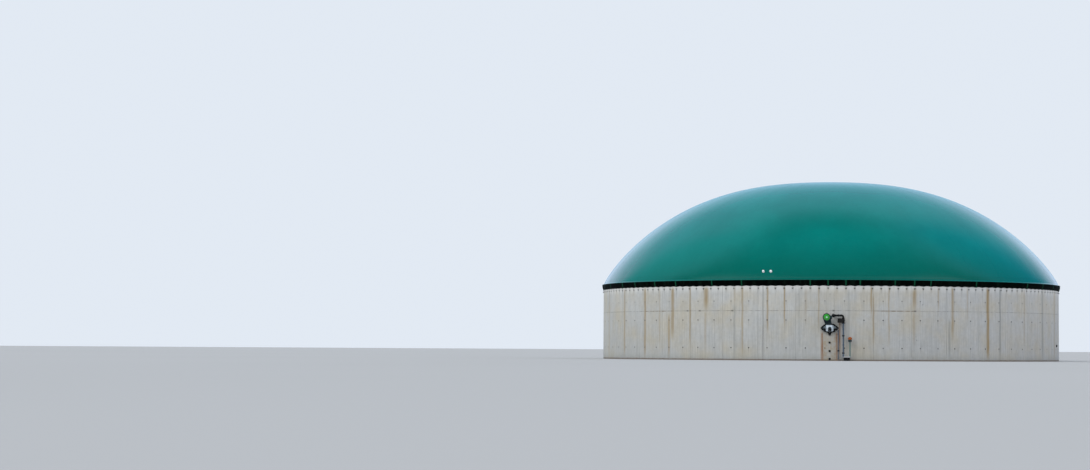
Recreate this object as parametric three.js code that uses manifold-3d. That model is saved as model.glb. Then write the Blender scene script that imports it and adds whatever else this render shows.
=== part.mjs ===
// A round biogas digester: a cast concrete tank under an air-held double membrane roof.
// Millimetres, +Z up. The origin is on the tank's axis at ground level, and the front,
// with the agitator drive, faces -Y. An azimuth is an angle in degrees from the front,
// positive towards +X.
import * as THREE from "three";
import { mergeVertices } from "three/addons/utils/BufferGeometryUtils.js";
import Module from "manifold-3d";

const wasm = await Module();
wasm.setup();

// Fitting gap between pieces that touch
const gap = 0.3;

// Concrete tank
const tankRadius = 15250;
const wallThickness = 250;
const crownHeight = 4980;
const slabThickness = 250;
const slabSides = 72;
const sectionCount = 8;
const facetsPerSection = 18;
const castingJointAzimuth = -15.4;
const sectionDegrees = 360 / sectionCount;
const facetDegrees = sectionDegrees / facetsPerSection;

// Membrane roof
const roofRadius = 15220;
const roofSpringHeight = 5030;
const roofRise = 6903;
const roofFullness = 2.564;
const roofShoulder = 1.199;
const roofShell = 40;
const roofFacets = 72;
const roofCourses = 12;
const roofInnerCourses = 6;
const roofStartDegrees = 8;
const footRadius = 15345;
const footEdge = 18;
const footStep = 30;
const footTurnDegrees = 3;

// Skirt laced down over the clamped edge of the membrane
const skirtDrop = 380;
const skirtScallop = 75;
const skirtSeat = 0.6;
const scallopsPerSection = 22;
const scallopSteps = 3;

// Sight ports low on the roof
const portsAzimuth = -14.7;
const portSpacing = 480;
const portRadius = 80;

// Agitator drive
const driveAzimuth = 0.2;
const shaftHeight = 2010;
const yoke = { width: 1140, height: 600, rim: 80, web: 440, depth: 150 };
const drivePlateThickness = 20;
const bearingLength = 60;
const gearbox = { shaftEnd: 150, motorEnd: 240, depth: 210, bevel: 18 };
const motor = { x: -192, z: 2665, radius: 222, length: 330, finHeight: 26, fins: 20 };
const hoodRadius = 262;
const hoodLength = 215;
const terminalBox = { width: 110, depth: 170, height: 200 };
const plugHeights = { upper: 1120, middle: 600, lower: 120 };

// Pipework right of the drive
const headerHeight = 2785;
const headerRadius = 60;
const headerStart = 235;
const headerStandOff = 210;
const elbowRadius = 110;
const downpipeX = 830;
const downpipeRadius = 48;
const downpipeSides = 16;
const valve = { bottom: 2290, top: 2650, bonnetWidth: 350, bonnetDepth: 170 };
const clampHeights = { upper: 1540, lower: 480 };
const drain = { azimuth: 2.17, top: 1840, bottom: 100, radius: 25, standOff: 90 };
const drainClipHeight = 620;

// Pit and standpipe at the foot
const pit = { azimuth: 4.06, ringRadius: 205, ringHeight: 190, wall: 30 };
const lid = { radius: 282, thickness: 60 };
const standpipe = { offset: 199, radius: 48, top: 1170 };
const capRadius = 125;

// Capped stub near the right-hand edge
const stub = { azimuth: 76.2, height: 1010, radius: 90, length: 70 };

const materials = {
  concrete: finish(0xb3b1aa, 0.9, 0),
  membrane: finish(0x0f7566, 0.35, 0),
  skirt: finish(0x101211, 0.6, 0),
  galvanised: finish(0xaab2b6, 0.45, 0.8),
  darkSteel: finish(0x23282b, 0.5, 0.6),
  gearTeal: finish(0x1d4347, 0.45, 0.3),
  pipeGrey: finish(0x66737d, 0.5, 0.4),
  motorGreen: finish(0x2f9a35, 0.35, 0),
  blackPlastic: finish(0x17191b, 0.5, 0),
  whitePlastic: finish(0xe6e6e8, 0.4, 0),
  orangePlastic: finish(0xb8651b, 0.5, 0),
};

const digester = new THREE.Group();
digester.name = "biogas_digester";

function finish(color, roughness, metalness) {
  return new THREE.MeshStandardMaterial({ color, roughness, metalness });
}

function radians(degrees) {
  return THREE.MathUtils.degToRad(degrees);
}

// A named piece at x, y, z in its parent group
function place(name, geometry, material, parent = digester, x = 0, y = 0, z = 0) {
  const mesh = new THREE.Mesh(geometry, material);
  mesh.name = name;
  mesh.position.set(x, y, z);
  parent.add(mesh);
  return mesh;
}

// The point at an azimuth, a radius from the tank's axis and a height
function polar(azimuth, radius, height) {
  const angle = radians(azimuth);
  return new THREE.Vector3(radius * Math.sin(angle), -radius * Math.cos(angle), height);
}

// Azimuths along one section, with half a fitting gap taken off at both ends
const sectionTrim = THREE.MathUtils.radToDeg(gap / 2 / tankRadius);

function sectionAzimuth(start, section, share) {
  const from = start + section * sectionDegrees + sectionTrim;
  return from + share * (sectionDegrees - 2 * sectionTrim);
}

function numbered(name, section) {
  return `${name}_${String(section + 1).padStart(2, "0")}`;
}

// The place on the wall at an azimuth: a group at ground level in the wall's flat facet,
// with +X along the facet and -Y straight out of it
function wallPlace(azimuth) {
  const facet = Math.floor((azimuth - castingJointAzimuth) / facetDegrees);
  const middle = castingJointAzimuth + (facet + 0.5) * facetDegrees;
  const distance = tankRadius * Math.cos(radians(facetDegrees / 2));
  const group = new THREE.Group();
  group.position.copy(polar(middle, distance, 0));
  group.rotation.z = radians(middle);
  group.translateX(distance * Math.tan(radians(azimuth - middle)));
  digester.add(group);
  group.updateWorldMatrix(true, false);
  return group;
}

// Solids to join and cut

function toSolid(geometry) {
  const bare = geometry.index ? geometry.toNonIndexed() : geometry.clone();
  bare.deleteAttribute("normal");
  bare.deleteAttribute("uv");
  const merged = mergeVertices(bare, 1e-3);
  return new wasm.Manifold(
    new wasm.Mesh({
      numProp: 3,
      vertProperties: merged.attributes.position.array,
      triVerts: new Uint32Array(merged.index.array),
    }),
  );
}

function toGeometry(solid) {
  const mesh = solid.getMesh();
  const geometry = new THREE.BufferGeometry();
  geometry.setAttribute("position", new THREE.BufferAttribute(mesh.vertProperties, 3));
  geometry.setIndex(new THREE.BufferAttribute(mesh.triVerts, 1));
  return geometry;
}

function union(...geometries) {
  return toGeometry(geometries.map(toSolid).reduce((whole, piece) => whole.add(piece)));
}

// Basic shapes

// A shape drawn in X and Z that stands out from the wall, from y = 0 towards -Y
function standOff(shape, depth, curveSegments = 8, bevel = 0) {
  const geometry = new THREE.ExtrudeGeometry(shape, {
    depth: depth - 2 * bevel,
    bevelEnabled: bevel > 0,
    bevelThickness: bevel,
    bevelSize: bevel,
    bevelOffset: -bevel,
    bevelSegments: 1,
    curveSegments,
  });
  return geometry.translate(0, 0, bevel).rotateX(Math.PI / 2);
}

// A turned piece on the Z axis, from a profile of radii and heights
function turned(profile, sides = 20) {
  const points = profile.map(([radius, height]) => new THREE.Vector2(radius, height));
  return new THREE.LatheGeometry(points, sides).rotateX(Math.PI / 2);
}

// The same, lying along -Y: the profile's heights are distances out from the wall
function turnedOut(profile, sides = 20) {
  return turned(profile, sides).rotateX(Math.PI / 2);
}

function rod(radius, bottom, top, sides = 16) {
  return turned([[0, bottom], [radius, bottom], [radius, top], [0, top]], sides);
}

function box(width, depth, height) {
  return new THREE.BoxGeometry(width, depth, height).translate(0, -depth / 2, height / 2);
}

// A round bar or pipe along straight runs that meet in elbows
function pipe(radius, corners, bend, steps, sides) {
  const points = corners.map(([x, y, z]) => new THREE.Vector3(x, y, z));
  const route = new THREE.CurvePath();
  let start = points[0];
  for (let i = 1; i < points.length - 1; i++) {
    const before = points[i - 1].clone().sub(points[i]).setLength(bend).add(points[i]);
    const after = points[i + 1].clone().sub(points[i]).setLength(bend).add(points[i]);
    route.add(new THREE.LineCurve3(start, before));
    route.add(new THREE.QuadraticBezierCurve3(before, points[i], after));
    start = after;
  }
  route.add(new THREE.LineCurve3(start, points.at(-1)));
  const section = new THREE.Shape().absarc(0, 0, radius, 0, 2 * Math.PI);
  return new THREE.ExtrudeGeometry(section, {
    extrudePath: route,
    steps,
    curveSegments: sides / 2,
    bevelEnabled: false,
  });
}

// Tank

function wallSection(section) {
  const corners = [];
  for (let i = 0; i <= facetsPerSection; i++) {
    const azimuth = sectionAzimuth(castingJointAzimuth, section, i / facetsPerSection);
    corners.push(polar(azimuth, tankRadius, 0));
    corners.unshift(polar(azimuth, tankRadius - wallThickness, 0));
  }
  const outline = new THREE.Shape(corners.map(({ x, y }) => new THREE.Vector2(x, y)));
  return new THREE.ExtrudeGeometry(outline, { depth: crownHeight, bevelEnabled: false });
}

function buildTank() {
  for (let section = 0; section < sectionCount; section++) {
    place(numbered("wall_section", section), wallSection(section), materials.concrete);
  }
  const innerRadius = (tankRadius - wallThickness) * Math.cos(radians(facetDegrees / 2));
  const slab = place("base_slab", rod(innerRadius - gap, 0, slabThickness, slabSides), materials.concrete);
  slab.rotation.z = radians(castingJointAzimuth + facetDegrees / 2);
}

// Roof

// Radius and height on the roof's outer face, from 0 degrees at its spring to 90 at its top
function roofPoint(degrees, inset = 0) {
  const share = Math.cos(radians(degrees)) ** 2;
  const radius = (roofRadius - inset) * share ** (1 / roofFullness);
  const height = (roofRise - inset) * (1 - share) ** (1 / roofShoulder);
  return [radius, roofSpringHeight + height];
}

function roofCurve(courses, inset) {
  const step = (90 - roofStartDegrees) / courses;
  const curve = [];
  for (let i = 0; i < courses; i++) {
    curve.push(roofPoint(roofStartDegrees + i * step, inset));
  }
  curve.push([0, roofSpringHeight + roofRise - inset]);
  return curve;
}

// The clamped edge lies flat on the wall's crown and reaches out over the skirt, and the
// membrane turns up steeply from it
function roofFoot() {
  const seat = crownHeight + gap;
  return [
    [roofRadius - 3 * roofShell, seat],
    [footRadius, seat],
    [footRadius, seat + footEdge],
    [roofRadius + footStep, seat + footEdge + footStep / 2],
    roofPoint(footTurnDegrees),
  ];
}

function buildRoof() {
  const inner = roofCurve(roofInnerCourses, roofShell).reverse();
  const profile = [...inner, ...roofFoot(), ...roofCurve(roofCourses, 0)];
  const roof = place("outer_membrane", turned(profile, roofFacets), materials.membrane);
  roof.rotation.z = radians(portsAzimuth + 180 / roofFacets);
}

// The skirt's lower edge is pulled down at each lacing hook and arches up between two
function skirtSection(section) {
  const steps = scallopsPerSection * scallopSteps;
  const start = castingJointAzimuth + sectionDegrees / scallopsPerSection / 2;
  const band = new THREE.BoxGeometry(1, 1, 1, steps, 1, 1);
  const { position } = band.attributes;
  for (let i = 0; i < position.count; i++) {
    const share = position.getX(i) + 0.5;
    const radius = position.getY(i) < 0 ? footRadius : tankRadius + skirtSeat;
    const arch = Math.abs(Math.sin(Math.PI * share * scallopsPerSection));
    const lowerEdge = crownHeight - skirtDrop + skirtScallop * arch;
    const height = position.getZ(i) > 0 ? crownHeight : lowerEdge;
    const { x, y, z } = polar(sectionAzimuth(start, section, share), radius, height);
    position.setXYZ(i, x, y, z);
  }
  return band;
}

function buildSkirt() {
  for (let section = 0; section < sectionCount; section++) {
    place(numbered("skirt_section", section), skirtSection(section), materials.skirt);
  }
}

// Each port stands square on the roof's lowest course of flat facets
function buildPorts() {
  const [lowRadius, lowHeight] = roofPoint(roofStartDegrees);
  const [highRadius, highHeight] = roofPoint(
    roofStartDegrees + (90 - roofStartDegrees) / roofCourses,
  );
  const facetShare = Math.cos(Math.PI / roofFacets);
  const run = (lowRadius - highRadius) * facetShare;
  const slope = Math.atan2(run, highHeight - lowHeight);
  const facet = new THREE.Group();
  const radius = ((lowRadius + highRadius) / 2) * facetShare;
  facet.position.copy(polar(portsAzimuth, radius, (lowHeight + highHeight) / 2));
  facet.rotation.set(-slope, 0, radians(portsAzimuth), "ZYX");
  digester.add(facet);
  const profile = [
    [0, gap],
    [portRadius, gap],
    [portRadius, 26],
    [portRadius - 16, 30],
    [portRadius - 16, 112],
    [portRadius - 34, 124],
    [0, 128],
  ];
  for (const [side, sign] of [["left", -1], ["right", 1]]) {
    const x = (sign * portSpacing) / 2;
    place(`sight_port_${side}`, turnedOut(profile), materials.whitePlastic, facet, x);
  }
}

// Agitator drive

// Half the height of a lens of a width and height, at a distance x from its middle
function lensArc(width, height) {
  const rise = height / 2;
  const radius = (width ** 2 / 4 + rise ** 2) / (2 * rise);
  return { radius, centre: radius - rise, halfAngle: Math.asin(width / 2 / radius) };
}

function lens(width, height) {
  const { radius, centre, halfAngle } = lensArc(width, height);
  const shape = new THREE.Shape();
  shape.absarc(0, centre, radius, -Math.PI / 2 - halfAngle, halfAngle - Math.PI / 2);
  shape.absarc(0, -centre, radius, Math.PI / 2 - halfAngle, halfAngle + Math.PI / 2);
  return shape;
}

// One opening of the yoke, between its middle web and the tip on one side
function lensWindow(width, height, side) {
  const { radius, centre, halfAngle } = lensArc(width, height);
  const webAngle = Math.asin(yoke.web / 2 / radius);
  const window = new THREE.Path();
  if (side > 0) {
    window.absarc(0, centre, radius, webAngle - Math.PI / 2, halfAngle - Math.PI / 2);
    window.absarc(0, -centre, radius, Math.PI / 2 - halfAngle, Math.PI / 2 - webAngle);
  } else {
    window.absarc(0, -centre, radius, webAngle + Math.PI / 2, halfAngle + Math.PI / 2);
    window.absarc(0, centre, radius, -Math.PI / 2 - halfAngle, -Math.PI / 2 - webAngle);
  }
  return window;
}

function yokeShape() {
  const shape = lens(yoke.width, yoke.height);
  const innerWidth = yoke.width - 4 * yoke.rim;
  const innerHeight = yoke.height - 2 * yoke.rim;
  for (const side of [-1, 1]) {
    shape.holes.push(lensWindow(innerWidth, innerHeight, side));
  }
  return shape;
}

// A housing of two round ends joined by straight sides, from the shaft to the motor
function gearboxShape() {
  const rise = motor.z - shaftHeight;
  const axisAngle = Math.atan2(rise, motor.x);
  const distance = Math.hypot(rise, motor.x);
  const tangent = Math.acos((gearbox.shaftEnd - gearbox.motorEnd) / distance);
  const shape = new THREE.Shape();
  shape.absarc(0, 0, gearbox.shaftEnd, axisAngle + tangent, axisAngle - tangent + 2 * Math.PI);
  shape.absarc(motor.x, rise, gearbox.motorEnd, axisAngle - tangent, axisAngle + tangent);
  return shape;
}

function finnedShape() {
  const points = [];
  const pitch = (2 * Math.PI) / motor.fins;
  for (let i = 0; i < motor.fins; i++) {
    for (const [share, radius] of [
      [0, motor.radius],
      [0.35, motor.radius],
      [0.45, motor.radius - motor.finHeight],
      [0.9, motor.radius - motor.finHeight],
    ]) {
      const angle = (i + share) * pitch;
      points.push(new THREE.Vector2(radius * Math.cos(angle), radius * Math.sin(angle)));
    }
  }
  return new THREE.Shape(points);
}

function buildDrive() {
  const drive = wallPlace(driveAzimuth);
  let out = gap;
  const plate = standOff(lens(yoke.width, yoke.height), drivePlateThickness, 10);
  place("drive_wall_plate", plate, materials.galvanised, drive, 0, -out, shaftHeight);
  out += drivePlateThickness + gap;
  const frame = standOff(yokeShape(), yoke.depth, 10);
  place("drive_yoke", frame, materials.darkSteel, drive, 0, -out, shaftHeight);
  buildYokeFoot(drive);
  out += yoke.depth + gap;
  const bearing = turnedOut([
    [0, 0],
    [gearbox.shaftEnd - 8, 0],
    [gearbox.shaftEnd - 8, bearingLength / 2],
    [gearbox.shaftEnd - 40, bearingLength / 2],
    [gearbox.shaftEnd - 40, bearingLength],
    [0, bearingLength],
  ]);
  place("shaft_bearing", bearing, materials.darkSteel, drive, 0, -out, shaftHeight);
  out += bearingLength + gap;
  const housing = standOff(gearboxShape(), gearbox.depth, 10, gearbox.bevel);
  place("gearbox", housing, materials.gearTeal, drive, 0, -out, shaftHeight);
  out += gearbox.depth + gap;
  buildMotor(drive, out);
}

function buildYokeFoot(drive) {
  const top = shaftHeight - yoke.height / 2 - gap;
  const shape = new THREE.Shape();
  shape.moveTo(-110, 0);
  shape.lineTo(-45, -160);
  shape.lineTo(45, -160);
  shape.lineTo(110, 0);
  place("yoke_foot", standOff(shape, 130), materials.darkSteel, drive, 0, -gap, top);
}

function buildMotor(drive, start) {
  const body = standOff(finnedShape(), motor.length);
  place("motor_body", body, materials.motorGreen, drive, motor.x, -start, motor.z);
  const hood = turnedOut(
    [
      [0, 0],
      [hoodRadius - 12, 0],
      [hoodRadius, 20],
      [hoodRadius, hoodLength * 0.6],
      [hoodRadius - 22, hoodLength * 0.82],
      [hoodRadius - 75, hoodLength * 0.96],
      [0, hoodLength],
    ],
    28,
  );
  const hoodStart = start + motor.length + gap;
  place("motor_hood", hood, materials.motorGreen, drive, motor.x, -hoodStart, motor.z);
  const boxX = motor.x + motor.radius + gap + terminalBox.width / 2;
  const boxGeometry = box(terminalBox.width, terminalBox.depth, terminalBox.height);
  place(
    "motor_terminal_box",
    boxGeometry,
    materials.gearTeal,
    drive,
    boxX,
    -start - (motor.length - terminalBox.depth) / 2,
    motor.z - terminalBox.height / 2,
  );
}

function buildPlugs() {
  const wall = wallPlace(driveAzimuth);
  const profile = [[0, 0], [68, 0], [68, 18], [46, 18], [46, 84], [36, 96], [0, 96]];
  for (const [name, height] of Object.entries(plugHeights)) {
    const plug = turnedOut(profile, 16);
    place(`sampling_plug_${name}`, plug, materials.blackPlastic, wall, 0, -gap, height);
  }
}

// Pipework

function buildHeader(wall) {
  const sleeveLength = headerStandOff - elbowRadius - gap;
  const sleeve = turnedOut([
    [0, 0],
    [110, 0],
    [110, 24],
    [headerRadius + 18, 24],
    [headerRadius + 18, sleeveLength],
    [0, sleeveLength],
  ]);
  place("header_sleeve", sleeve, materials.darkSteel, wall, headerStart, -gap, headerHeight);
  const header = pipe(
    headerRadius,
    [
      [headerStart, -sleeveLength - 2 * gap, headerHeight],
      [headerStart, -headerStandOff, headerHeight],
      [downpipeX, -headerStandOff, headerHeight],
      [downpipeX, -headerStandOff, valve.top + gap],
    ],
    elbowRadius - gap,
    26,
    12,
  );
  place("header_pipe", header, materials.blackPlastic, wall);
}

function buildValve(wall) {
  const height = valve.top - valve.bottom;
  const body = turned([
    [0, 0],
    [100, 0],
    [100, 22],
    [72, 22],
    [72, height - 22],
    [100, height - 22],
    [100, height],
    [0, height],
  ]);
  const bonnet = box(valve.bonnetWidth, valve.bonnetDepth, height - 80);
  bonnet.translate(-valve.bonnetWidth / 2, valve.bonnetDepth / 2, 40);
  const whole = union(body, bonnet);
  place("gate_valve", whole, materials.darkSteel, wall, downpipeX, -headerStandOff, valve.bottom);
}

// A ring round a pipe, with an arm back to the wall
function pipeClamp(wall, name, pipeRadius, standOffDistance, height, x) {
  const inner = pipeRadius / Math.cos(Math.PI / downpipeSides) + gap;
  const outer = inner + 16;
  const ring = turned(
    [[inner, -30], [outer, -30], [outer, 30], [inner, 30], [inner, -30]],
    downpipeSides,
  );
  const armLength = standOffDistance - inner - 6;
  const arm = box(44, armLength, 44).translate(0, standOffDistance - gap, -22);
  place(name, union(ring, arm), materials.darkSteel, wall, x, -standOffDistance, height);
}

function buildDownpipe(wall) {
  const bottom = pit.ringHeight + lid.thickness + 2 * gap;
  const downpipe = rod(downpipeRadius, bottom, valve.bottom - gap, downpipeSides);
  place("downpipe", downpipe, materials.pipeGrey, wall, downpipeX, -headerStandOff);
  const axis = wall.localToWorld(new THREE.Vector3(downpipeX, -headerStandOff, 0));
  const clampWall = wallPlace(THREE.MathUtils.radToDeg(Math.atan2(axis.x, -axis.y)));
  const { x, y } = clampWall.worldToLocal(axis);
  for (const [name, height] of Object.entries(clampHeights)) {
    pipeClamp(clampWall, `downpipe_clamp_${name}`, downpipeRadius, -y, height, x);
  }
}

function buildDrain() {
  const wall = wallPlace(drain.azimuth);
  const route = [
    [0, -gap, drain.top],
    [0, -drain.standOff, drain.top],
    [0, -drain.standOff, drain.bottom],
  ];
  const drainPipe = pipe(drain.radius, route, 60, 18, 10);
  place("drain_pipe", drainPipe, materials.pipeGrey, wall);
  pipeClamp(wall, "drain_clip", drain.radius, drain.standOff, drainClipHeight, 0);
}

// Pit and standpipe

function buildPit() {
  const wall = wallPlace(pit.azimuth);
  const distance = lid.radius + gap;
  const ring = turned(
    [
      [pit.ringRadius - pit.wall, 0],
      [pit.ringRadius, 0],
      [pit.ringRadius, pit.ringHeight],
      [pit.ringRadius - pit.wall, pit.ringHeight],
      [pit.ringRadius - pit.wall, 0],
    ],
    24,
  );
  place("pit_ring", ring, materials.blackPlastic, wall, 0, -distance);
  const cover = turned(
    [
      [0, 0],
      [lid.radius - 24, 0],
      [lid.radius, 16],
      [lid.radius, lid.thickness - 8],
      [lid.radius - 14, lid.thickness],
      [0, lid.thickness],
    ],
    28,
  );
  place("pit_lid", cover, materials.whitePlastic, wall, 0, -distance, pit.ringHeight + gap);
  const base = pit.ringHeight + lid.thickness + 2 * gap;
  const pole = rod(standpipe.radius, base, standpipe.top, 14);
  place("standpipe", pole, materials.pipeGrey, wall, standpipe.offset, -distance);
  buildCap(wall, distance);
}

function buildCap(wall, distance) {
  const collar = turned([
    [0, 0],
    [standpipe.radius + 20, 0],
    [capRadius, 22],
    [capRadius, 100],
    [standpipe.radius + 10, 112],
    [standpipe.radius + 10, 130],
    [0, 130],
  ]);
  const collarBase = standpipe.top + gap;
  place("standpipe_collar", collar, materials.gearTeal, wall, standpipe.offset, -distance, collarBase);
  const cap = turned([
    [0, 0],
    [capRadius, 0],
    [capRadius, 96],
    [capRadius - 30, 140],
    [capRadius - 80, 168],
    [0, 172],
  ]);
  const capBase = collarBase + 130 + gap;
  place("standpipe_cap", cap, materials.orangePlastic, wall, standpipe.offset, -distance, capBase);
}

function buildStub() {
  const wall = wallPlace(stub.azimuth);
  const profile = [
    [0, 0],
    [stub.radius, 0],
    [stub.radius, stub.length - 12],
    [stub.radius - 14, stub.length],
    [0, stub.length],
  ];
  place("wall_stub", turnedOut(profile), materials.blackPlastic, wall, 0, -gap, stub.height);
}

buildTank();
buildRoof();
buildSkirt();
buildPorts();
buildDrive();
buildPlugs();
const pipeWall = wallPlace(driveAzimuth);
buildHeader(pipeWall);
buildValve(pipeWall);
buildDownpipe(pipeWall);
buildDrain();
buildPit();
buildStub();

export default digester;
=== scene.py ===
import math
from contextlib import contextmanager

import bpy
from mathutils import Matrix, Quaternion, Vector, noise


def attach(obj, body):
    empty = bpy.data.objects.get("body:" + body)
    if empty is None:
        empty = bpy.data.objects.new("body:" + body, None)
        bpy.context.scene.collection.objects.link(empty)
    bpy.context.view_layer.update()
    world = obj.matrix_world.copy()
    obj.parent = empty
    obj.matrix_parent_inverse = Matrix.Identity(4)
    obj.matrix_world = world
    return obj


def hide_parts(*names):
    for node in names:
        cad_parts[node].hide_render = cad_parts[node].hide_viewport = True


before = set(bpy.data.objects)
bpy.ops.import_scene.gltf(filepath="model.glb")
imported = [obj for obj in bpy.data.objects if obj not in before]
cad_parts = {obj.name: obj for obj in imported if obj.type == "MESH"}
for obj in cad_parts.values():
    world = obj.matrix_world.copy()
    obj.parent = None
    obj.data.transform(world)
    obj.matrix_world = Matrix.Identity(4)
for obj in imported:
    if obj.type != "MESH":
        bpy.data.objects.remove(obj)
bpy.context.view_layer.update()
print("frame loaded")

# The tank's main sizes in metres. An azimuth is in degrees from the front, -Y, towards +X.
tank = {
    "radius": 15.25,
    "wallThickness": 0.25,
    "crown": 4.98,
    "facetDegrees": 2.5,
    "jointAzimuth": -15.4,
    "sections": 8,
    "panelDegrees": 9,
    "firstPanelJoint": 1.35,
    "hookAzimuth": -0.16,
    "hooks": 176,
    "seat": 0.0003,
}
tank["sectionDegrees"] = 360 / tank["sections"]
tank["face"] = tank["radius"] * math.cos(math.radians(tank["facetDegrees"] / 2))
tank["hookDegrees"] = 360 / tank["hooks"]
tank["metresPerDegree"] = math.radians(tank["radius"])  # round the wall


# Modelling by hand

def activate(piece):
    bpy.ops.object.select_all(action="DESELECT")
    piece.select_set(True)
    bpy.context.view_layer.objects.active = piece


def primitive(kind, name, **settings):
    bpy.ops.object.select_all(action="DESELECT")
    getattr(bpy.ops.mesh, "primitive_" + kind + "_add")(**settings)
    piece = bpy.context.active_object
    piece.name = name
    return piece


# Opens a piece in edit mode with the vertices, edges or faces selected that pass the test
@contextmanager
def editing(piece, kind="VERT", test=None):
    mesh = piece.data
    activate(piece)
    bpy.context.tool_settings.mesh_select_mode = [kind == each for each in ("VERT", "EDGE", "FACE")]
    for group in (mesh.vertices, mesh.edges, mesh.polygons):
        group.foreach_set("select", [test is None] * len(group))
    if test and kind == "VERT":
        for vertex in mesh.vertices:
            vertex.select = test(vertex.co)
    if test and kind == "EDGE":
        for edge in mesh.edges:
            a, b = (mesh.vertices[i].co for i in edge.vertices)
            edge.select = test((a + b) / 2, (b - a).normalized())
    if test and kind == "FACE":
        for face in mesh.polygons:
            face.select = test(face.center, face.normal)
    bpy.ops.object.mode_set(mode="EDIT")
    yield
    bpy.ops.object.mode_set(mode="OBJECT")


def extrude(x=0, y=0, z=0):
    bpy.ops.mesh.extrude_region_move(TRANSFORM_OT_translate={"value": (x, y, z)})


def spin(degrees, steps, axis=(0, 0, 1), centre=(0, 0, 0), copies=False):
    angle = -math.radians(degrees)  # the operator turns the other way round
    bpy.ops.mesh.spin(steps=steps, angle=angle, axis=axis, center=centre, dupli=copies)


def closeUp():
    bpy.ops.mesh.select_all(action="SELECT")
    bpy.ops.mesh.remove_doubles(threshold=1e-5)
    bpy.ops.mesh.normals_make_consistent(inside=False)


def modify(piece, kind, **settings):
    activate(piece)
    modifier = piece.modifiers.new(kind.title(), kind)
    for name, value in settings.items():
        setattr(modifier, name, value)
    bpy.ops.object.modifier_apply(modifier=modifier.name)
    return piece


def bevelled(piece, width, segments=2, degrees=30):
    angle = math.radians(degrees)
    return modify(piece, "BEVEL", width=width, segments=segments, angle_limit=angle)


def settle(piece, matrix):
    activate(piece)
    piece.matrix_basis = matrix @ piece.matrix_basis
    bpy.ops.object.transform_apply(location=True, rotation=True, scale=True)
    return piece


def copyOf(piece, name, matrix):
    twin = piece.copy()
    twin.data = piece.data.copy()
    twin.name = name
    bpy.context.collection.objects.link(twin)
    return settle(twin, matrix)


def joined(name, pieces):
    activate(pieces[0])
    for piece in pieces:
        piece.select_set(True)
    bpy.ops.object.join()
    pieces[0].name = name
    return pieces[0]


def cut(piece, *cutters):
    cutter = joined("cutter", list(cutters))
    modify(piece, "BOOLEAN", operation="DIFFERENCE", solver="EXACT", object=cutter)
    bpy.data.objects.remove(cutter)
    return piece


def move(x=0, y=0, z=0):
    return Matrix.Translation((x, y, z))


def turn(degrees, axis="Z"):
    return Matrix.Rotation(math.radians(degrees), 4, axis)


outward = turn(90, "X")  # lays what was made along +Z along -Y, straight out from the wall


# A chain of edges in the XZ plane, drawn vertex by vertex
def drawn(name, points):
    piece = primitive("plane", name, size=0.1)
    with editing(piece):
        bpy.ops.mesh.merge(type="CENTER")
        bpy.ops.transform.translate(value=(points[0][0], 0, points[0][1]))
        for (x, z), (nextX, nextZ) in zip(points, points[1:]):
            extrude(nextX - x, 0, nextZ - z)
    return piece


# A piece turned on the Z axis from a profile of radii and heights
def turned(name, profile, sides=32, degrees=360):
    piece = drawn(name, profile)
    with editing(piece):
        spin(degrees, sides)
        closeUp()
    return piece


# The rim of a round disc with chamfered edges, as part of a profile
def rim(radius, low, high, edge):
    return [(radius - edge, low), (radius, low + edge), (radius, high - edge), (radius - edge, high)]


# An outline in X and Z made solid, from y = 0 towards -Y
def prism(name, points, depth, bevel=0.0):
    piece = drawn(name, points)
    with editing(piece):
        bpy.ops.mesh.edge_face_add()
        extrude(0, -depth, 0)
        closeUp()
    if bevel:
        bevelled(piece, bevel)
    return piece


# A recess with a border round it in a piece's front face, before its edges are bevelled
def recessed(piece, border, depth, bevel):
    with editing(piece, "FACE", lambda middle, normal: normal.y < -0.9):
        bpy.ops.mesh.inset(thickness=border)
        extrude(0, depth, 0)
    return bevelled(piece, bevel)


def block(name, low, high, bevel=0.003):
    middle = [(a + b) / 2 for a, b in zip(low, high)]
    size = [b - a for a, b in zip(low, high)]
    piece = primitive("cube", name, size=1, location=middle, scale=size)
    settle(piece, Matrix())
    return bevelled(piece, bevel)


# A round pipe from a start point, with straight runs in metres and bends towards new headings
def pipeRun(name, radius, start, heading, moves, sides=24):
    place, heading = Vector(start), Vector(heading)
    facing = heading.to_track_quat("Z", "Y").to_euler()
    piece = primitive(
        "circle", name, vertices=sides, radius=radius, fill_type="NGON", location=place, rotation=facing
    )
    settle(piece, Matrix())
    with editing(piece):
        for distance, bend in moves:
            if bend is None:
                extrude(*(heading * distance))
                place = place + heading * distance
            else:
                nextHeading = Vector(bend)
                centre = place + nextHeading * distance
                spin(90, 10, heading.cross(nextHeading), centre)
                place = centre + heading * distance
                heading = nextHeading
        closeUp()
    return piece


# A hexagon bolt head on its washer, standing on z = 0
def boltHead(name, size):
    washer = primitive("cylinder", name, vertices=14, radius=size * 1.05, depth=size * 0.16)
    settle(washer, move(z=size * 0.08))
    head = primitive("cylinder", "head", vertices=6, radius=size * 0.88, depth=size * 0.64)
    settle(head, move(z=size * 0.48))
    with editing(head, "FACE", lambda middle, normal: normal.z > 0.9):
        bpy.ops.mesh.inset(thickness=size * 0.1)
        bpy.ops.transform.translate(value=(0, 0, size * 0.05))
    return joined(name, [washer, head])


def bolts(name, size, places):
    first = boltHead(name, size)
    copies = [copyOf(first, "bolt", matrix) for matrix in places[1:]]
    settle(first, places[0])
    return joined(name, [first, *copies])


# Bolts evenly round the Z axis
def ringBolts(name, size, count, radius, height, first=0.0):
    return bolts(name, size, [turn(first + i * 360 / count) @ move(radius, 0, height) for i in range(count)])


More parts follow.
